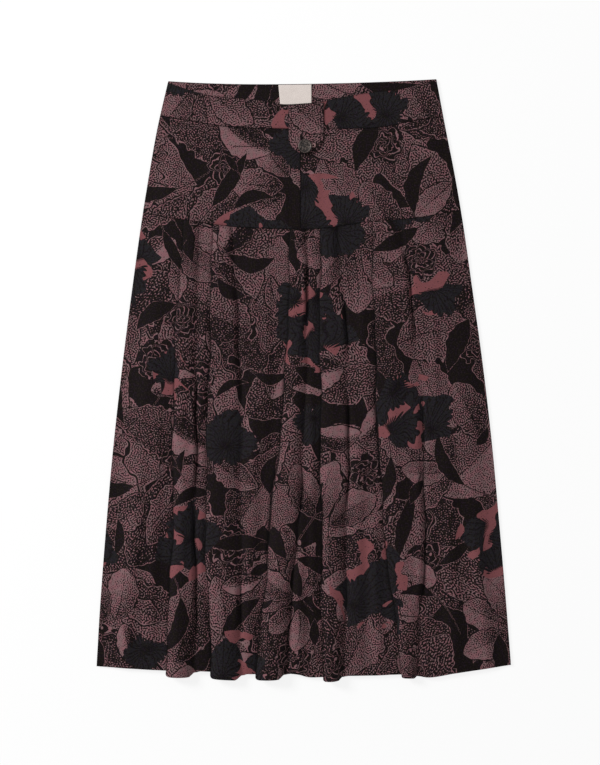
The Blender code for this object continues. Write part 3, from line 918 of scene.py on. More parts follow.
def cloth_piece(name, cloth, material, shift=None):
    """A thin closed shell around a grid of cloth. shift places the print on it, if it is printed."""
    rows, columns = cloth.rim.shape
    rounding = np.sqrt(1.0 - (1.0 - np.clip(cloth.rim / RIM[-1], 0.0, 1.0)) ** 2)
    half = cloth.thick / 2 * (RIM_LEAST + (1.0 - RIM_LEAST) * rounding)
    offset = grid_normals(cloth.points) * half[..., None]
    points = np.concatenate([(cloth.points + offset).reshape(-1, 3), (cloth.points - offset).reshape(-1, 3)])
    faces, sides = shell_faces(rows, columns)
    mesh = smooth_mesh(name, points, faces.tolist())
    uv = mesh.uv_layers.new(name="OFBake")
    uv.uv.foreach_set("vector", bake_places(cloth, faces, sides).astype(np.float32).ravel())
    flat = np.concatenate([cloth.flat.reshape(-1, 2)] * 2)
    corners = flat[faces]
    deep = np.concatenate([cloth.deep.ravel()] * 2)[faces]
    if shift is not None:
        corners = corners + np.array(shift)
        add_print(mesh, corners)
    # The cloth attribute holds the place on the flat cloth and the painted shade
    add_corner_vectors(mesh, "cloth", np.concatenate([corners, deep[..., None]], axis=-1))
    return link(name, mesh, material)


# ---- Materials ----

BRIGHTNESS = 1.45       # how much brighter than its own colour a surface looks under the lamps


def ink(red, green, blue):
    """The linear colour of a surface that looks like this red, green and blue, 0 to 255, under the lamps."""
    values = [value / 255 for value in (red, green, blue)]
    linear = [v / 12.92 if v <= 0.04045 else ((v + 0.055) / 1.055) ** 2.4 for v in values]
    return (*[value / BRIGHTNESS for value in linear], 1.0)


BLACK = ink(0, 0, 0)
GROUND = ink(14, 7, 6)
MAUVE = ink(124, 96, 98)
MAUVE_WARM = ink(131, 91, 96)
RED = ink(124, 73, 76)
SLATE = ink(29, 28, 31)
SLATE_VEIN = ink(13, 10, 12)
SLUB_COOL = ink(66, 44, 70)
SLUB_WARM = ink(64, 54, 40)
CREAM = ink(212, 200, 194)
CREAM_PALE = ink(230, 219, 212)
METAL_DARK = ink(31, 27, 26)
METAL_WORN = ink(112, 99, 93)


class Signal:
    """A number in a shader's node tree. Arithmetic on signals adds Math nodes."""

    def __init__(self, tree, socket):
        self.tree = tree
        self.socket = socket

    def math(self, operation, *others):
        """A Math node with this signal as its first input."""
        return output(self.tree, "Math", dict(enumerate((self, *others))), operation=operation)

    __add__ = partialmethod(math, "ADD")
    __sub__ = partialmethod(math, "SUBTRACT")
    __mul__ = partialmethod(math, "MULTIPLY")
    __truediv__ = partialmethod(math, "DIVIDE")
    __pow__ = partialmethod(math, "POWER")
    magnitude = partialmethod(math, "ABSOLUTE")
    fraction = partialmethod(math, "FRACT")
    sine = partialmethod(math, "SINE")
    cosine = partialmethod(math, "COSINE")
    root = partialmethod(math, "SQRT")
    least = partialmethod(math, "MINIMUM")
    most = partialmethod(math, "MAXIMUM")
    above = partialmethod(math, "GREATER_THAN")

    def ramp(self, low, high):
        """0 at low, 1 at high, and a smooth rise between."""
        values = {"Value": self, "From Min": low, "From Max": high}
        return output(self.tree, "MapRange", values, interpolation_type="SMOOTHSTEP")

    def mixed(self, other, share):
        """This signal where share is 0 and the other where it is 1."""
        return output(self.tree, "Mix", {0: share, 2: self, 3: other})


def feed(tree, value, socket):
    """Links a signal to a socket, or sets the socket to a plain value."""
    if isinstance(value, Signal):
        tree.links.new(value.socket, socket)
    else:
        socket.default_value = value


def add_node(tree, kind, values, **settings):
    """A node of a kind with its settings, and with signals or plain values fed to its sockets."""
    node = tree.nodes.new("ShaderNode" + kind)
    for name, value in settings.items():
        setattr(node, name, value)
    for socket, value in values.items():
        feed(tree, value, node.inputs[socket])
    return node


def output(tree, kind, values, name=0, **settings):
    """One output of a new node, the first one if no other is named."""
    return Signal(tree, add_node(tree, kind, values, **settings).outputs[name])


def mixed_colour(tree, first, second, share):
    """The first colour where share is 0 and the second where it is 1."""
    return output(tree, "Mix", {0: share, 6: first, 7: second}, 2, data_type="RGBA")


def separated(tree, vector):
    """The three numbers of a vector."""
    return [Signal(tree, number) for number in add_node(tree, "SeparateXYZ", {0: vector}).outputs]


def attribute(tree, name):
    """The vector of a mesh attribute."""
    return output(tree, "Attribute", {}, "Vector", attribute_name=name)


def attribute_numbers(tree, name):
    """The three numbers of a mesh attribute."""
    return separated(tree, attribute(tree, name))


def noise(tree, vector, width, detail=0.0, noise_dimensions="2D"):
    """Noise from 0 to 1 with features of about this width."""
    values = {"Vector": vector, "Scale": 1 / width, "Detail": detail}
    return output(tree, "TexNoise", values, "Fac", noise_dimensions=noise_dimensions)


def joined(tree, x, y):
    """A vector from two signals."""
    return output(tree, "CombineXYZ", {0: x, 1: y})


def distance_from_zero(x, y):
    """How far the place (x, y) is from (0, 0)."""
    return (x * x + y * y).root()


def own_place(tree):
    """The place in the skirt's own frame, in metres."""
    return output(tree, "TexCoord", {}, "Object")


# One cell of a mosaic: the distance to its edge, three numbers of its own from 0 to 1, and its middle
Cells = namedtuple("Cells", "edge chance shade fine x y")


def mosaic(tree, x, y, size):
    """Cells of about one size in millimetres."""
    values = {"Vector": joined(tree, x, y), "Scale": 1 / size}
    nearest, edge = [add_node(tree, "TexVoronoi", values, voronoi_dimensions="2D", feature=feature).outputs
                     for feature in ("F1", "DISTANCE_TO_EDGE")]
    numbers = separated(tree, Signal(tree, nearest["Color"]))
    middle = separated(tree, Signal(tree, nearest["Position"]))
    return Cells(Signal(tree, edge["Distance"]) * size, *numbers, *middle[:2])


class PrintState:
    """What the layers drawn so far leave on the cloth.

    cover: the share of the ground that the ink covers. colour: the ink's. u, v: places that the ink's
    squiggles are drawn by.
    """

    def __init__(self, cover, colour, u, v):
        self.cover = cover
        self.colour = colour
        self.u = u
        self.v = v

    def cover_with(self, cover, share):
        """Covers the part of the cloth where share is 1."""
        self.cover = self.cover.mixed(cover, share)


SHARP = 0.3             # half of the softness of the print's edges


def drawn(edge):
    """1 where edge, the distance inside an outline, is positive."""
    return edge.ramp(-SHARP, SHARP)


def draw_leaves(tree, state, look, rough):
    """Draws a layer of leaves over what is there."""
    along, across, stretch = attribute_numbers(tree, look.layer + "_place")
    length, width, grain = attribute_numbers(tree, look.layer + "_shape")
    base, tip, side = attribute_numbers(tree, look.layer + "_cover")
    there = stretch.above(0.05)
    aside = across.magnitude()
    share = (along / length).most(0.0).least(1.0)
    half = width * ((share ** look.shoulder) * pi).sine().most(0.0) ** look.taper
    half = half * (rough * 0.08 + 1.0)
    if look.tooth_depth:
        teeth = ((along + aside * 0.6) / look.tooth).fraction()
        half = half - teeth * look.tooth_depth
    if look.stem:
        on_stem = (along + look.stem).above(0.0) * (length * 0.4 - along).above(0.0)
        half = half.most(on_stem * look.stem_width)
    edge = (half - aside).least(length - along).least(along + look.stem)
    if look.halo:
        state.cover_with(NO_INK, drawn(edge + look.halo) * there)
    inside = drawn(edge) * there
    cover = base.mixed(tip, share) + side * (across / 5.0).most(-1.0).least(1.0)
    if look.halo:
        on_middle = (aside + share * 0.8).ramp(0.7, 1.3)
        cover = cover * (on_middle * 0.45 + 0.55)
        state.u = state.u.mixed(along * grain * stretch, inside)
        state.v = state.v.mixed(across * grain, inside)
    if look.outline:
        cover = cover.mixed(0.9, edge.ramp(look.outline + 0.6, look.outline))
    state.cover_with(cover, inside)


CLUMP_LEAF = 46.0       # usual width of one leaf of a clump
CLUMP_EDGE = 27.0       # the middles of a clump's leaves lie this far inside its circle
FAN = 11.0              # half of the number of veins and teeth in a full turn around a leaf's foot
TOOTH = 4.4             # height of a tooth
OPENING = 26.0          # width of the places where a clump's leaves lie apart,
OPENING_HALF = 7.0      # and how far each leaf draws back there


def draw_clumps(tree, state, vector, wobble, rough):
    """Draws dark toothed leaves with fans of veins: clumps with red where leaves lie apart, or single."""
    x, y, there = attribute_numbers(tree, CLUMP + "_place")
    radius, red, seed = attribute_numbers(tree, CLUMP + "_shape")
    single = red * -1.0 + 1.0
    distance = distance_from_zero(x, y)
    apart = noise(tree, vector, OPENING).ramp(0.52, 0.6) * OPENING_HALF * red
    x = x + wobble * 24.0
    y = y - wobble * 18.0
    cells = mosaic(tree, x + seed, y + seed, CLUMP_LEAF)
    middle_x = (cells.x - seed) * red
    middle_y = (cells.y - seed) * red
    lean = cells.chance * (2 * pi) * red
    foot = single * radius * 0.3 + red * 17.0
    fan_x = x - middle_x + lean.cosine() * foot
    fan_y = y - middle_y + lean.sine() * foot
    angle = fan_y.math("ARCTAN2", fan_x)
    reach = distance_from_zero(fan_x, fan_y)
    teeth = (angle * FAN).sine().magnitude() * TOOTH - TOOTH / 2
    lobes = ((angle * 2.2).cosine().magnitude() * 0.2 + 0.8) * (angle * angle * -0.064 + 1.05)
    alone = radius * lobes - reach
    leaf = cells.edge.mixed(alone, single) - apart + teeth * (apart.most(single * 4.0) / 9.0 + 0.4)
    leaf = leaf.least(radius + 3.0 - distance)
    outside = (distance_from_zero(middle_x, middle_y) - radius + CLUMP_EDGE).above(0.0)
    leaf = leaf - outside * red * 60.0
    ground = (apart - 3.0).least(rough + 8.0 - cells.edge).least(radius - CLUMP_EDGE + 5.0 - distance)
    inside = drawn(ground) * there * red
    state.cover_with(0.98, inside)
    state.colour = mixed_colour(tree, state.colour, RED, inside)
    state.cover_with(NO_INK, drawn(leaf + 0.6) * there)
    inside = drawn(leaf) * there
    vein = ((angle * (FAN / pi)).fraction() - 0.5).magnitude() * reach * (pi / FAN)
    slate = mixed_colour(tree, SLATE, SLATE_VEIN, vein.ramp(0.9, 0.3))
    state.colour = mixed_colour(tree, state.colour, slate, inside)
    state.cover_with(0.72, inside)
    state.u = state.u.mixed(reach * 0.45, inside)
    state.v = state.v.mixed(angle * 22.0, inside)


def draw_rosettes(tree, state, rough):
    """Draws small round flowers as rings of petal lines on the dark ground."""
    x, y, there = attribute_numbers(tree, ROSETTE + "_place")
    radius, petals, rings = attribute_numbers(tree, ROSETTE + "_shape")
    angle = y.math("ARCTAN2", x)
    out = (distance_from_zero(x, y) + rough * 2.6) / radius
    waves = ((angle + rough * 0.16) * petals * 0.5 + out * 5.0).sine().magnitude()
    line = ((out * rings - waves * 0.8).fraction() - 0.5).magnitude().ramp(0.12, 0.05)
    inside = (waves * 0.2 + 0.8 - out).ramp(-0.02, 0.02) * there
    state.cover_with(line + 0.02, inside)


CELL_SIZE = 54.0        # usual width of a shape in the lowest layer
CELL_BARE = 0.42        # share of them that stay bare
TONE = 8.0              # width of the patches of the ink's two mauves


def draw_cells(tree, x, y, wobble):
    """The lowest layer: overlapping shapes of more and less dense ink, with dark ground between."""
    cells = mosaic(tree, x + wobble * 60.0 + 25.0, y * 0.72 + x * 0.25 - wobble * 45.0, CELL_SIZE)
    cover = cells.shade * 0.3 + 0.3
    cover = cover.mixed(0.95, cells.edge.ramp(2.9, 2.3))
    cover = cover.mixed(NO_INK, cells.edge.ramp(1.8, 1.2))
    cover = cover.mixed(NO_INK, cells.chance.above(1.0 - CELL_BARE))
    grain = cells.fine * 0.35 + 0.85
    tone = noise(tree, joined(tree, x, y), TONE, 1.0).ramp(0.38, 0.62)
    return PrintState(cover, mixed_colour(tree, MAUVE, MAUVE_WARM, tone), x * grain, y * grain)


def squiggles(tree, state):
    """An even maze of short worms, from 0 to 1, that the ink's cover is compared with."""
    values = {"Vector": joined(tree, state.u, state.v), "Scale": 0.17, "Frequency": 2.0, "Anisotropy": 0.0}
    return output(tree, "TexGabor", values, "Value", gabor_type="2D")


def new_material(name, roughness, specular, sheen=0.0, metallic=0.0):
    """A Principled material. Returns it with its tree and its shader."""
    material = bpy.data.materials.new(name)
    material.use_nodes = True
    tree = material.node_tree
    shader = tree.nodes["Principled BSDF"]
    shader.inputs["Roughness"].default_value = roughness
    shader.inputs["Specular IOR Level"].default_value = specular
    shader.inputs["Sheen Weight"].default_value = sheen
    shader.inputs["Metallic"].default_value = metallic
    return material, tree, shader


def add_bump(tree, shader, height, distance, strength):
    """Bump from a signal of 0 to 1. distance is in metres."""
    bump = add_node(tree, "Bump", {"Distance": distance, "Strength": strength, "Height": height})
    tree.links.new(bump.outputs["Normal"], shader.inputs["Normal"])


TWIST = 900.0           # scale of the bands on a thread, which makes its twists 0.7 mm apart
WEAVE_PITCH = 0.95      # two threads of the printed cloth
RIB_PITCH = 0.7         # two ribs of the label, and two of its fine threads
FINE_PITCH = 0.45

# Widths of the features of the noises in the materials
WOBBLE = 34.0           # bends the motifs
ROUGH = 9.0             # makes their edges uneven
GRIT = 1.5              # breaks up the ink
SLUB = 1.9              # thick places in the yarn, and patches of their two colours
SLUB_TONE = 5.0
WEAR = 70.0             # slow changes of the whole print's brightness
NAP = 2.5               # the cloth's uneven surface
LABEL_CLOUD = 9.0       # patches of the label's two creams
PATINA_SPOT = 1 / 520   # spots of the button's patina, in metres


def stripes(place, pitch):
    """Even stripes of a pitch, from 0 to 1."""
    return (place * (2 * pi / pitch)).sine() * 0.5 + 0.5


def weave(x, y, pitch):
    """A plain weave, from 0 to 1."""
    rate = 2 * pi / pitch
    return (x * rate).sine() * (y * rate).sine() * 0.5 + 0.5


def printed_cloth():
    """Woven cloth with an all-over print of leaves and flowers in mauve, red and slate on near black,
    darkened with painted shade in folds, gaps and along edges.
    """
    material, tree, shader = new_material("printed_cloth", 0.82, 0.08)
    vector = attribute(tree, "cloth")
    x, y, deep = separated(tree, vector)
    wobble = noise(tree, vector, WOBBLE, 1.0) - 0.5
    rough = (noise(tree, vector, ROUGH) - 0.5) * 4.0
    state = draw_cells(tree, x, y, wobble)
    draw_leaves(tree, state, BROAD_LOW, rough)
    draw_leaves(tree, state, BROAD_HIGH, rough)
    draw_rosettes(tree, state, rough)
    draw_leaves(tree, state, PETAL_LOW, rough)
    draw_leaves(tree, state, PETAL_HIGH, rough)
    draw_leaves(tree, state, LANCE, rough)
    draw_clumps(tree, state, vector, wobble, rough)
    draw_leaves(tree, state, SPRIG, rough)
    grit = noise(tree, vector, GRIT) - 0.5
    level = (state.cover - 0.5) * 0.62 + 0.465 - squiggles(tree, state) + grit * 0.4
    inked = level.ramp(-0.05, 0.05)
    colour = mixed_colour(tree, GROUND, state.colour, inked)
    slub_tone = mixed_colour(tree, SLUB_COOL, SLUB_WARM, noise(tree, vector, SLUB_TONE).ramp(0.4, 0.6))
    slubs = noise(tree, vector, SLUB, 1.0).ramp(0.44, 0.72)
    colour = mixed_colour(tree, colour, slub_tone, slubs * 0.18)
    threads = weave(x, y, WEAVE_PITCH)
    wear = noise(tree, vector, WEAR, 2.0)
    # Weave tone, slow random tone, and the painted shade from the cloth attribute
    shade = (threads * 0.16 + 0.92) * (wear * 0.2 + 0.9) * (deep * -0.85 + 1.0)
    feed(tree, mixed_colour(tree, BLACK, colour, shade), shader.inputs["Base Color"])
    feed(tree, inked * 0.08 + 0.78, shader.inputs["Roughness"])
    add_bump(tree, shader, threads + noise(tree, vector, NAP) * 0.8, 0.00012, 0.5)
    return material


def label_cloth():
    """Cream woven satin, with fine ribs and a little unevenness."""
    material, tree, shader = new_material("label_cloth", 0.7, 0.3, 0.1)
    vector = attribute(tree, "cloth")
    x, y, _ = separated(tree, vector)
    ribs = stripes(y, RIB_PITCH)
    tone = ribs * 0.4 + noise(tree, vector, LABEL_CLOUD, 2.0) * 0.6
    feed(tree, mixed_colour(tree, CREAM, CREAM_PALE, tone), shader.inputs["Base Color"])
    add_bump(tree, shader, ribs * 0.7 + stripes(x, FINE_PITCH) * 0.3, 0.0001, 0.6)
    return material


def thread(name, colour, highlight):
    """Twisted sewing thread."""
    material, tree, shader = new_material(name, 0.8, 0.1)
    values = {"Vector": own_place(tree), "Scale": TWIST}
    twist = output(tree, "TexWave", values, "Fac", bands_direction="DIAGONAL")
    feed(tree, mixed_colour(tree, colour, highlight, twist), shader.inputs["Base Color"])
    add_bump(tree, shader, twist, 0.0001, 0.6)
    return material


def button_metal():
    """Dark oxidised metal, worn lighter on its rim, with fine turned lines."""
    material, tree, shader = new_material("button_metal", 0.5, 0.4, metallic=0.45)
    place = own_place(tree)
    x, y, _ = separated(tree, place)
    radius = distance_from_zero(x - BUTTON_X * MM, y - BUTTON_Y * MM) / (BUTTON_RADIUS * MM)
    spots = noise(tree, place, PATINA_SPOT, 3.0, "3D")
    lines = (radius * 90.0).sine() * 0.5 + 0.5
    worn = radius.ramp(0.9, 0.97) * 0.2 + spots.ramp(0.42, 0.66) * 0.8
    feed(tree, mixed_colour(tree, METAL_DARK, METAL_WORN, worn), shader.inputs["Base Color"])
    feed(tree, spots * 0.25 + 0.38, shader.inputs["Roughness"])
    add_bump(tree, shader, lines * 0.4 + spots * 0.6, 0.00006, 0.5)
    return material


PRINTED = printed_cloth()
LABEL_WEAVE = label_cloth()
DARK_THREAD = thread("thread_dark", ink(14, 11, 12), ink(34, 27, 30))
PINK_THREAD = thread("thread_pink", ink(160, 118, 120), ink(206, 168, 166))
METAL = button_metal()

# ---- The pieces of cloth ----

# Where each piece was cut from the printed cloth: what its own places are shifted by
CUT_FROM = {
    "waistband_back": (210, 140), "waistband_front_left": (200, 450), "waistband_front_right": (90, 260),
    "yoke_back": (60, 300), "yoke_front_left": (530, 275), "yoke_front_right": (140, 400),
    "skirt_front": (0, 0), "skirt_back": (300, 120), "tab": (100, 460),
}


def add_sheet(name, cloth):
    """A printed piece that replaces its solid."""
    piece = cloth_piece(name + "_cloth", cloth, PRINTED, CUT_FROM[name])
    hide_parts(name)


def on_ground(x, y):
    """Underside of the back pieces."""
    return np.zeros_like(x)


BAND_PUCKERS = 0.6      # height of the waistband's puckers, as a share of the others'
BAND_RELIEF = 0.25      # its creases and puckers rise no higher than this
BAND_ALONG = 31.0       # its puckers and those above the yoke seam are shifted along it,
YOKE_ALONG = 57.0       # so that the two sides of a seam differ
TAB_CLEAR = 8.0         # the yoke's creases fade out over this distance at the tab,
TAB_CLEAR_LOW = 10.0    # and are whole again this far below it


def band_underside(x, y):
    """Underside of the front waistband, with soft creases and puckers along its seam."""
    puckers = seam_pucker(y - waist_seam(x), x + BAND_ALONG) * BAND_PUCKERS
    return front_floor(x, y) + np.minimum(crease_relief(BAND_CREASES, x, y) + puckers, BAND_RELIEF)


def yoke_underside(x, y):
    """Underside of the front yoke, with soft creases, and puckers along both of its seams."""
    relief = crease_relief(YOKE_CREASES, x, y)
    relief = relief + seam_pucker(waist_seam(x) - y, x) + seam_pucker(y - yoke_seam(x), x + YOKE_ALONG)
    beside_tab = np.minimum(x - TAB_LEFT, TAB_RIGHT - x) + TAB_CLEAR
    under_tab = smoothstep(beside_tab / TAB_CLEAR) * smoothstep((y - TAB_END + TAB_CLEAR_LOW) / TAB_CLEAR)
    return front_floor(x, y) + relief * (1.0 - under_tab)


def beside(seam):
    """The lines where the cloth above a seam ends and the cloth below it starts."""
    return lowered(seam, -SEAM_GAP / 2), lowered(seam, SEAM_GAP / 2)


def add_waistbands_and_yokes():
    """The back waistband and yoke, and the two halves of the front ones, which meet at the centre."""
    band_low, yoke_top = beside(waist_seam)
    back_band_low, back_yoke_top = beside(back_waist_seam)
    yoke_low, _ = beside(yoke_seam)
    sides = (left_side, right_side)
    band = flat_cloth(back_top, back_band_low, *sides, on_ground, WALL)
    add_sheet("waistband_back", band)
    yoke = flat_cloth(back_yoke_top, lowered(yoke_low, BACK_SEAM_LOWER), *sides, on_ground, YOKE_CLOTH)
    add_sheet("yoke_back", yoke)
    for half, top, left, right in (
        ("_left", front_top_left, left_side, upright(CENTRE_FRONT - SEAM_GAP / 2)),
        ("_right", front_top_right, upright(CENTRE_FRONT + SEAM_GAP / 2), right_side),
    ):
        band = flat_cloth(top, band_low, left, right, band_underside, BAND_CLOTH)
        add_sheet("waistband_front" + half, band)
        yoke = flat_cloth(yoke_top, yoke_low, left, right, yoke_underside, YOKE_CLOTH)
        add_sheet("yoke_front" + half, yoke)


FRONT_ZERO = 12.0       # x at the top from which places on the flat cloth are counted
BACK_ZERO = 20.0


def add_skirt():
    """The pleated front and back panels."""
    _, top = beside(yoke_seam)
    front = pleated_cloth(front_fold_columns, FRONT_FOLDS, True, front_floor, top, hem_line,
                          FRONT_CREASES, FRONT_ZERO)
    add_sheet("skirt_front", front)
    back_hem = lowered(hem_line, -BACK_SHORTER)
    back = pleated_cloth(back_fold_columns, BACK_FOLDS, False, on_ground, lowered(top, BACK_SEAM_LOWER),
                         back_hem, BACK_CREASES, BACK_ZERO)
    add_sheet("skirt_back", back)


# ---- Tab, stitches, button and label ----

TAB_MIDDLE = (TAB_LEFT + TAB_RIGHT) / 2
TAB_RADIUS = (TAB_RIGHT - TAB_LEFT) / 2
TAB_STITCH = 3.6        # distance of the topstitching from the tab's edge
TAB_COLUMNS = 34
TAB_PUFF = 0.35         # how much higher the tab's middle lies than its edge, and how near the edge it rises
TAB_PUFF_WIDTH = 2.0
TAB_GROOVE = 0.3        # depth of the groove that the topstitching pulls in, and its width
TAB_GROOVE_WIDTH = 0.9
TAB_SHADE = 0.9         # painted shade at the tab's edge, and how far it reaches
TAB_SHADE_WIDTH = 1.2
STITCH_LENGTH = 2.5
STITCH_GAP = 0.8
STITCH_RADIUS = 0.3
STITCH_PROUD = 0.4      # how high its middle lies above the cloth, as a share of its radius
STITCH_TOP_LEFT = 356.0     # y where the topstitching starts and ends at the tab's top
STITCH_TOP_RIGHT = 357.5


def tab_end(x):
    """The tab's round end, half a circle as wide as the tab."""
    reach = np.maximum(TAB_RADIUS ** 2 - (x - TAB_MIDDLE) ** 2, 0.0)
    return TAB_END + TAB_RADIUS - np.sqrt(reach)


def inside_tab(x, y):
    """How far inside the tab's sides and round end a point is."""
    below = np.minimum(y - (TAB_END + TAB_RADIUS), 0.0)
    return TAB_RADIUS - np.hypot(x - TAB_MIDDLE, below)


def tab_underside(x, y):
    """Underside of the tab: soft edges, and a groove where it is stitched."""
    inside = inside_tab(x, y)
    puff = TAB_PUFF * (1.0 - np.exp(-inside / TAB_PUFF_WIDTH))
    groove = TAB_GROOVE * bell(inside - TAB_STITCH, TAB_GROOVE_WIDTH)
    return on_front(x, y) + puff - groove


def add_tab():
    """The closing tab."""
    across = (1 - np.cos(pi * np.arange(TAB_COLUMNS + 1) / TAB_COLUMNS)) / 2
    cloth = flat_cloth(tab_top, tab_end, upright(TAB_LEFT), upright(TAB_RIGHT), tab_underside, TAB_CLOTH,
                       TAB_ROW, across)
    x, y, _ = np.moveaxis(cloth.points, -1, 0)
    rim = np.maximum(np.minimum(inside_tab(x, y), tab_top(x) - y), 0.0)
    # Painted shade along the tab's edge
    cloth = cloth._replace(rim=rim, deep=TAB_SHADE * bell(rim, TAB_SHADE_WIDTH))
    add_sheet("tab", cloth)


# A stitch's outline: the share of its length, and how high its middle and how thick it is there, as
# shares of its radius. It rises from the cloth, lies along it and goes down again.
STITCH_RINGS = ((0.0, -0.7, 0.7), (0.12, 0.25, 1.0), (0.5, 0.5, 1.05), (0.88, 0.25, 1.0), (1.0, -0.7, 0.7))
STITCH_SIDES = 6


def stitch_points(start, end, height, radius):
    """Rings of points around one stitch."""
    start = Vector((*start, height))
    end = Vector((*end, height))
    run = end - start
    side = Vector((-run.y, run.x, 0.0)).normalized()
    up = Vector((0.0, 0.0, 1.0))
    points = []
    for share, rise, scale in STITCH_RINGS:
        middle = start + run * share + up * (rise * radius)
        points += [middle + (side * cos(angle) + up * sin(angle)) * (radius * scale)
                   for angle in (2 * pi * step / STITCH_SIDES for step in range(STITCH_SIDES))]
    return points


def tube_faces(rings, steps, first=0):
    """Faces between rings of points that follow one another, from the first point on."""
    faces = []
    for low in range(first, first + (rings - 1) * steps, steps):
        for step in range(steps):
            after = (step + 1) % steps
            faces.append((low + step, low + after, low + steps + after, low + steps + step))
    return faces


def add_stitches(name, runs, radius, material):
    """One piece of many stitches. runs: (start, end, height) for each."""
    points = []
    faces = []
    for run in runs:
        first = len(points)
        points += stitch_points(*run, radius)
        faces += tube_faces(len(STITCH_RINGS), STITCH_SIDES, first)
        faces.append(tuple(range(first + STITCH_SIDES - 1, first - 1, -1)))
        faces.append(tuple(range(len(points) - STITCH_SIDES, len(points))))
    link(name, smooth_mesh(name, points, faces), material)


def add_stitch_line(name, path, underside, cloth, radius, proud):
    """Dark stitches along a path, a list of (x, y) close together, on a piece of cloth."""
    path = np.array(path)
    along = np.concatenate([[0.0], np.cumsum(np.hypot(*np.diff(path, axis=0).T))])
    runs = []
    for start in np.arange(STITCH_GAP, along[-1] - STITCH_LENGTH, STITCH_LENGTH + STITCH_GAP):
        ends = [(float(np.interp(place, along, path[:, 0])), float(np.interp(place, along, path[:, 1])))
                for place in (start, start + STITCH_LENGTH)]
        height = float(np.mean([underside(np.array(x), np.array(y)) for x, y in ends]))
        runs.append((*ends, height + cloth + radius * proud))
    add_stitches(name, runs, radius, DARK_THREAD)


def add_tab_stitches():
    """Topstitching around the tab's sides and end."""
    inner = TAB_RADIUS - TAB_STITCH
    centre_y = TAB_END + TAB_RADIUS
    path = [(TAB_MIDDLE - inner, y) for y in np.linspace(STITCH_TOP_LEFT, centre_y, 30)]
    path += [(TAB_MIDDLE - inner * cos(angle), centre_y - inner * sin(angle))
             for angle in np.linspace(0.0, pi, 60)[1:-1]]
    path += [(TAB_MIDDLE + inner, y) for y in np.linspace(centre_y, STITCH_TOP_RIGHT, 30)]
    add_stitch_line("tab_stitches", path, tab_underside, TAB_CLOTH, STITCH_RADIUS, STITCH_PROUD)


HOLE_START = -7.0       # x of the buttonhole's inner end
HOLE_HALF = 1.9         # half of the buttonhole's width over its stitches
HOLE_SLIT = 0.35        # and half of the bare width between them
HOLE_PROUD = 0.15       # how high the stitches lie above the cloth
HOLE_STITCHES = 24      # pairs of stitches along it
HOLE_STITCH_RADIUS = 0.32
EYE = Point(12.7, 305.0)    # middle of the round eye at its outer end
EYE_INNER = 1.2
EYE_OUTER = 2.9
EYE_STITCHES = 19


def add_buttonhole():
    """The buttonhole's stitches. Only its round eye shows beside the button."""
    pairs = []
    for x in np.linspace(HOLE_START, EYE.x - EYE_OUTER, HOLE_STITCHES):
        for side in (-1, 1):
            pairs.append(((x, EYE.y + side * HOLE_SLIT), (x + 0.1, EYE.y + side * HOLE_HALF)))
    for angle in np.linspace(-0.85 * pi, 0.85 * pi, EYE_STITCHES):
        ahead, aside = cos(angle), sin(angle)
        pairs.append(((EYE.x + EYE_INNER * ahead, EYE.y + EYE_INNER * aside),
                      (EYE.x + EYE_OUTER * ahead, EYE.y + EYE_OUTER * aside)))
    runs = []
    for start, end in pairs:
        middle = (np.array(start) + np.array(end)) / 2
        runs.append((start, end, float(tab_underside(*middle)) + TAB_CLOTH + HOLE_PROUD))
    add_stitches("buttonhole_stitches", runs, HOLE_STITCH_RADIUS, PINK_THREAD)


YOKE_LINE_Y = 303.9     # height of a short line of stitches across the left half of the yoke
YOKE_LINE_START = -92.0
YOKE_LINE_END = -50.0
YOKE_LINE_RADIUS = 0.5
YOKE_LINE_PROUD = 0.6   # how high it lies above the cloth, as a share of its radius


def add_yoke_stitches():
    """A short level line of dark stitches on the yoke."""
    path = [(x, YOKE_LINE_Y) for x in np.linspace(YOKE_LINE_START, YOKE_LINE_END, 20)]
    add_stitch_line("yoke_stitches", path, yoke_underside, YOKE_CLOTH, YOKE_LINE_RADIUS, YOKE_LINE_PROUD)


BUTTON_STEPS = 72

# The button's turned outline, from the middle of its underside round to the middle of its face
BUTTON_OUTLINE = table(
    namedtuple("Ring", "radius height"),
    (SHANK_RADIUS, 0.0), (SHANK_RADIUS, 1.2), (SHANK_RADIUS + 0.5, 1.45), (BUTTON_RADIUS - 1.1, 1.5),
    (BUTTON_RADIUS - 0.4, 1.7), (BUTTON_RADIUS - 0.05, 2.1), (BUTTON_RADIUS, 2.5),
    (BUTTON_RADIUS - 0.1, 2.9), (BUTTON_RADIUS - 0.4, 3.25), (BUTTON_RADIUS - 0.9, 3.5),
    (BUTTON_RADIUS - 1.4, 3.5), (BUTTON_RADIUS - 1.75, 3.3), (BUTTON_RADIUS - 1.95, 3.05),
    (BUTTON_RADIUS - 2.4, 2.98), (BUTTON_RADIUS - 4.6, 3.1), (BUTTON_RADIUS - 4.9, 3.0),
    (BUTTON_RADIUS - 5.2, 3.1), (1.2, 3.18),
)
FACE_HEIGHT = 3.2       # height of the middle of its face


def add_button():
    """The metal button, turned from its outline."""
    seat = float(on_front(np.array(BUTTON_X), np.array(BUTTON_Y - SHANK_RADIUS))) + WALL + SEAM_GAP
    points = []
    for ring in BUTTON_OUTLINE:
        for step in range(BUTTON_STEPS):
            angle = 2 * pi * step / BUTTON_STEPS
            points.append((BUTTON_X + ring.radius * cos(angle), BUTTON_Y + ring.radius * sin(angle),
                           seat + ring.height))
    faces = tube_faces(len(BUTTON_OUTLINE), BUTTON_STEPS)
    for first, height, turned in ((0, 0.0, True), (len(points) - BUTTON_STEPS, FACE_HEIGHT, False)):
        middle = len(points)
        points.append((BUTTON_X, BUTTON_Y, seat + height))
        for step in range(BUTTON_STEPS):
            pair = [first + step, first + (step + 1) % BUTTON_STEPS]
            faces.append((middle, *(reversed(pair) if turned else pair)))
    button = link("button_turned", smooth_mesh("button_turned", points, faces), METAL)
    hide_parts("button")


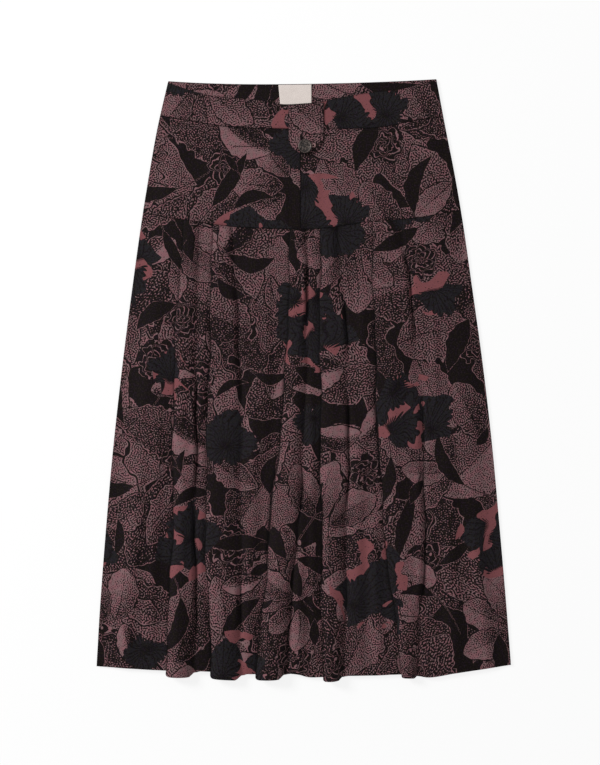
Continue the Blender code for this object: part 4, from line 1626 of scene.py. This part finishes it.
LABEL_LIFT = 0.25       # clear space under the label
LABEL_WAVE = 0.12       # height of its soft waves, and their length / 2 pi
LABEL_WAVE_LENGTH = 6.0
LABEL_WAVE_START = 14.0     # distance from its sewn end over which they rise


def label_low(x):
    """The label's lower end, just above the front's top edge and the tab."""
    return np.maximum(front_top_left(x), tab_top(x)) + 2 * SEAM_GAP


def add_label():
    """The woven label inside the back waistband, down to the front's top edge."""
    top = lowered(back_top, LABEL_INSET)
    sides = []
    for low_x, top_x in zip(LABEL_LOW, LABEL_TOP):
        sides.append(line_through([(float(label_low(low_x)), low_x), (float(top(top_x)), top_x)]))

    def underside(x, y):
        wave = LABEL_WAVE * np.sin(x / LABEL_WAVE_LENGTH + 0.6) * smoothstep((top(x) - y) / LABEL_WAVE_START)
        return FRONT_LIFT + LABEL_LIFT + wave

    cloth = flat_cloth(top, label_low, *sides, underside, LABEL_CLOTH, LABEL_CELL)
    label = cloth_piece("label_woven", cloth, LABEL_WEAVE)
    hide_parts("label")


# ---- Camera, lights and floor ----

PIXEL = 1.3                             # millimetres of cloth in one pixel of the picture
PICTURE_WIDTH = 600
PICTURE_HEIGHT = 765
ORIGIN_PIXEL = Point(303.75, 380.3)     # where the skirt's origin is in the picture
LENS = 85.0
SENSOR = 36.0
CLIP_END = 20.0                         # metres


def add_camera():
    """A camera straight above the skirt."""
    data = bpy.data.cameras.new("camera")
    data.lens = LENS
    data.sensor_width = SENSOR
    data.clip_end = CLIP_END
    camera = put("camera", data)
    camera.location = Vector((
        (PICTURE_WIDTH / 2 - ORIGIN_PIXEL.x) * PIXEL,
        (ORIGIN_PIXEL.y - PICTURE_HEIGHT / 2) * PIXEL,
        PICTURE_HEIGHT * PIXEL * LENS / SENSOR,
    )) * MM
    bpy.context.scene.camera = camera


# The lamps: places and sizes in metres, powers in watts
LAMPS = table(
    namedtuple("Lamp", "name location size power"),
    ("key", (-2.6, 1.2, 1.7), 1.0, 150.0),
    ("fill", (2.4, -0.6, 2.2), 1.8, 22.0),
)
SKY = 0.5               # strength of the even light from all around
WHITE = (1.0, 1.0, 1.0, 1.0)


def add_lights():
    """An even pale surround, a soft key from the upper left and a weaker fill from the right."""
    world = bpy.data.worlds.new("studio")
    world.use_nodes = True
    background = world.node_tree.nodes["Background"]
    background.inputs["Color"].default_value = WHITE
    background.inputs["Strength"].default_value = SKY
    bpy.context.scene.world = world
    for lamp in LAMPS:
        data = bpy.data.lights.new(lamp.name, "AREA")
        data.size = lamp.size
        data.energy = lamp.power
        light = put(lamp.name, data)
        light.location = lamp.location
        light.rotation_mode = "QUATERNION"
        light.rotation_quaternion = (-Vector(lamp.location)).to_track_quat("-Z", "Y")


FLOOR_DARK = (0.12, 0.12, 0.12, 1.0)    # the floor's two colours, hardly apart
FLOOR_PALE = (0.123, 0.123, 0.123, 1.0)
FLOOR_CLOUD = 1 / 3.0   # width of its clouds, in metres
FLOOR_GLOW = 0.82       # strength of its own light
FLOOR_HALF = 6000.0
FLOOR_DROP = 0.4        # how far it lies below the skirt


def add_floor():
    """A plain pale floor that is lit a little from below, like a light table."""
    material, tree, shader = new_material("floor", 0.9, 0.2)
    cloudy = noise(tree, own_place(tree), FLOOR_CLOUD, 2.0, "3D")
    feed(tree, mixed_colour(tree, FLOOR_DARK, FLOOR_PALE, cloudy), shader.inputs["Base Color"])
    shader.inputs["Emission Color"].default_value = WHITE
    shader.inputs["Emission Strength"].default_value = FLOOR_GLOW
    corners = [(x * FLOOR_HALF, y * FLOOR_HALF, 0.0) for x, y in ((-1, -1), (1, -1), (1, 1), (-1, 1))]
    mesh = smooth_mesh("floor", corners, [(0, 1, 2, 3)])
    mesh.materials.append(material)
    floor = put("floor", mesh)
    floor.location.z = -FLOOR_DROP * MM


add_camera()
add_waistbands_and_yokes()
add_skirt()
add_tab()
add_tab_stitches()
add_yoke_stitches()
add_buttonhole()
add_button()
add_label()
add_lights()
add_floor()
bpy.context.scene.view_settings.view_transform = "Standard"
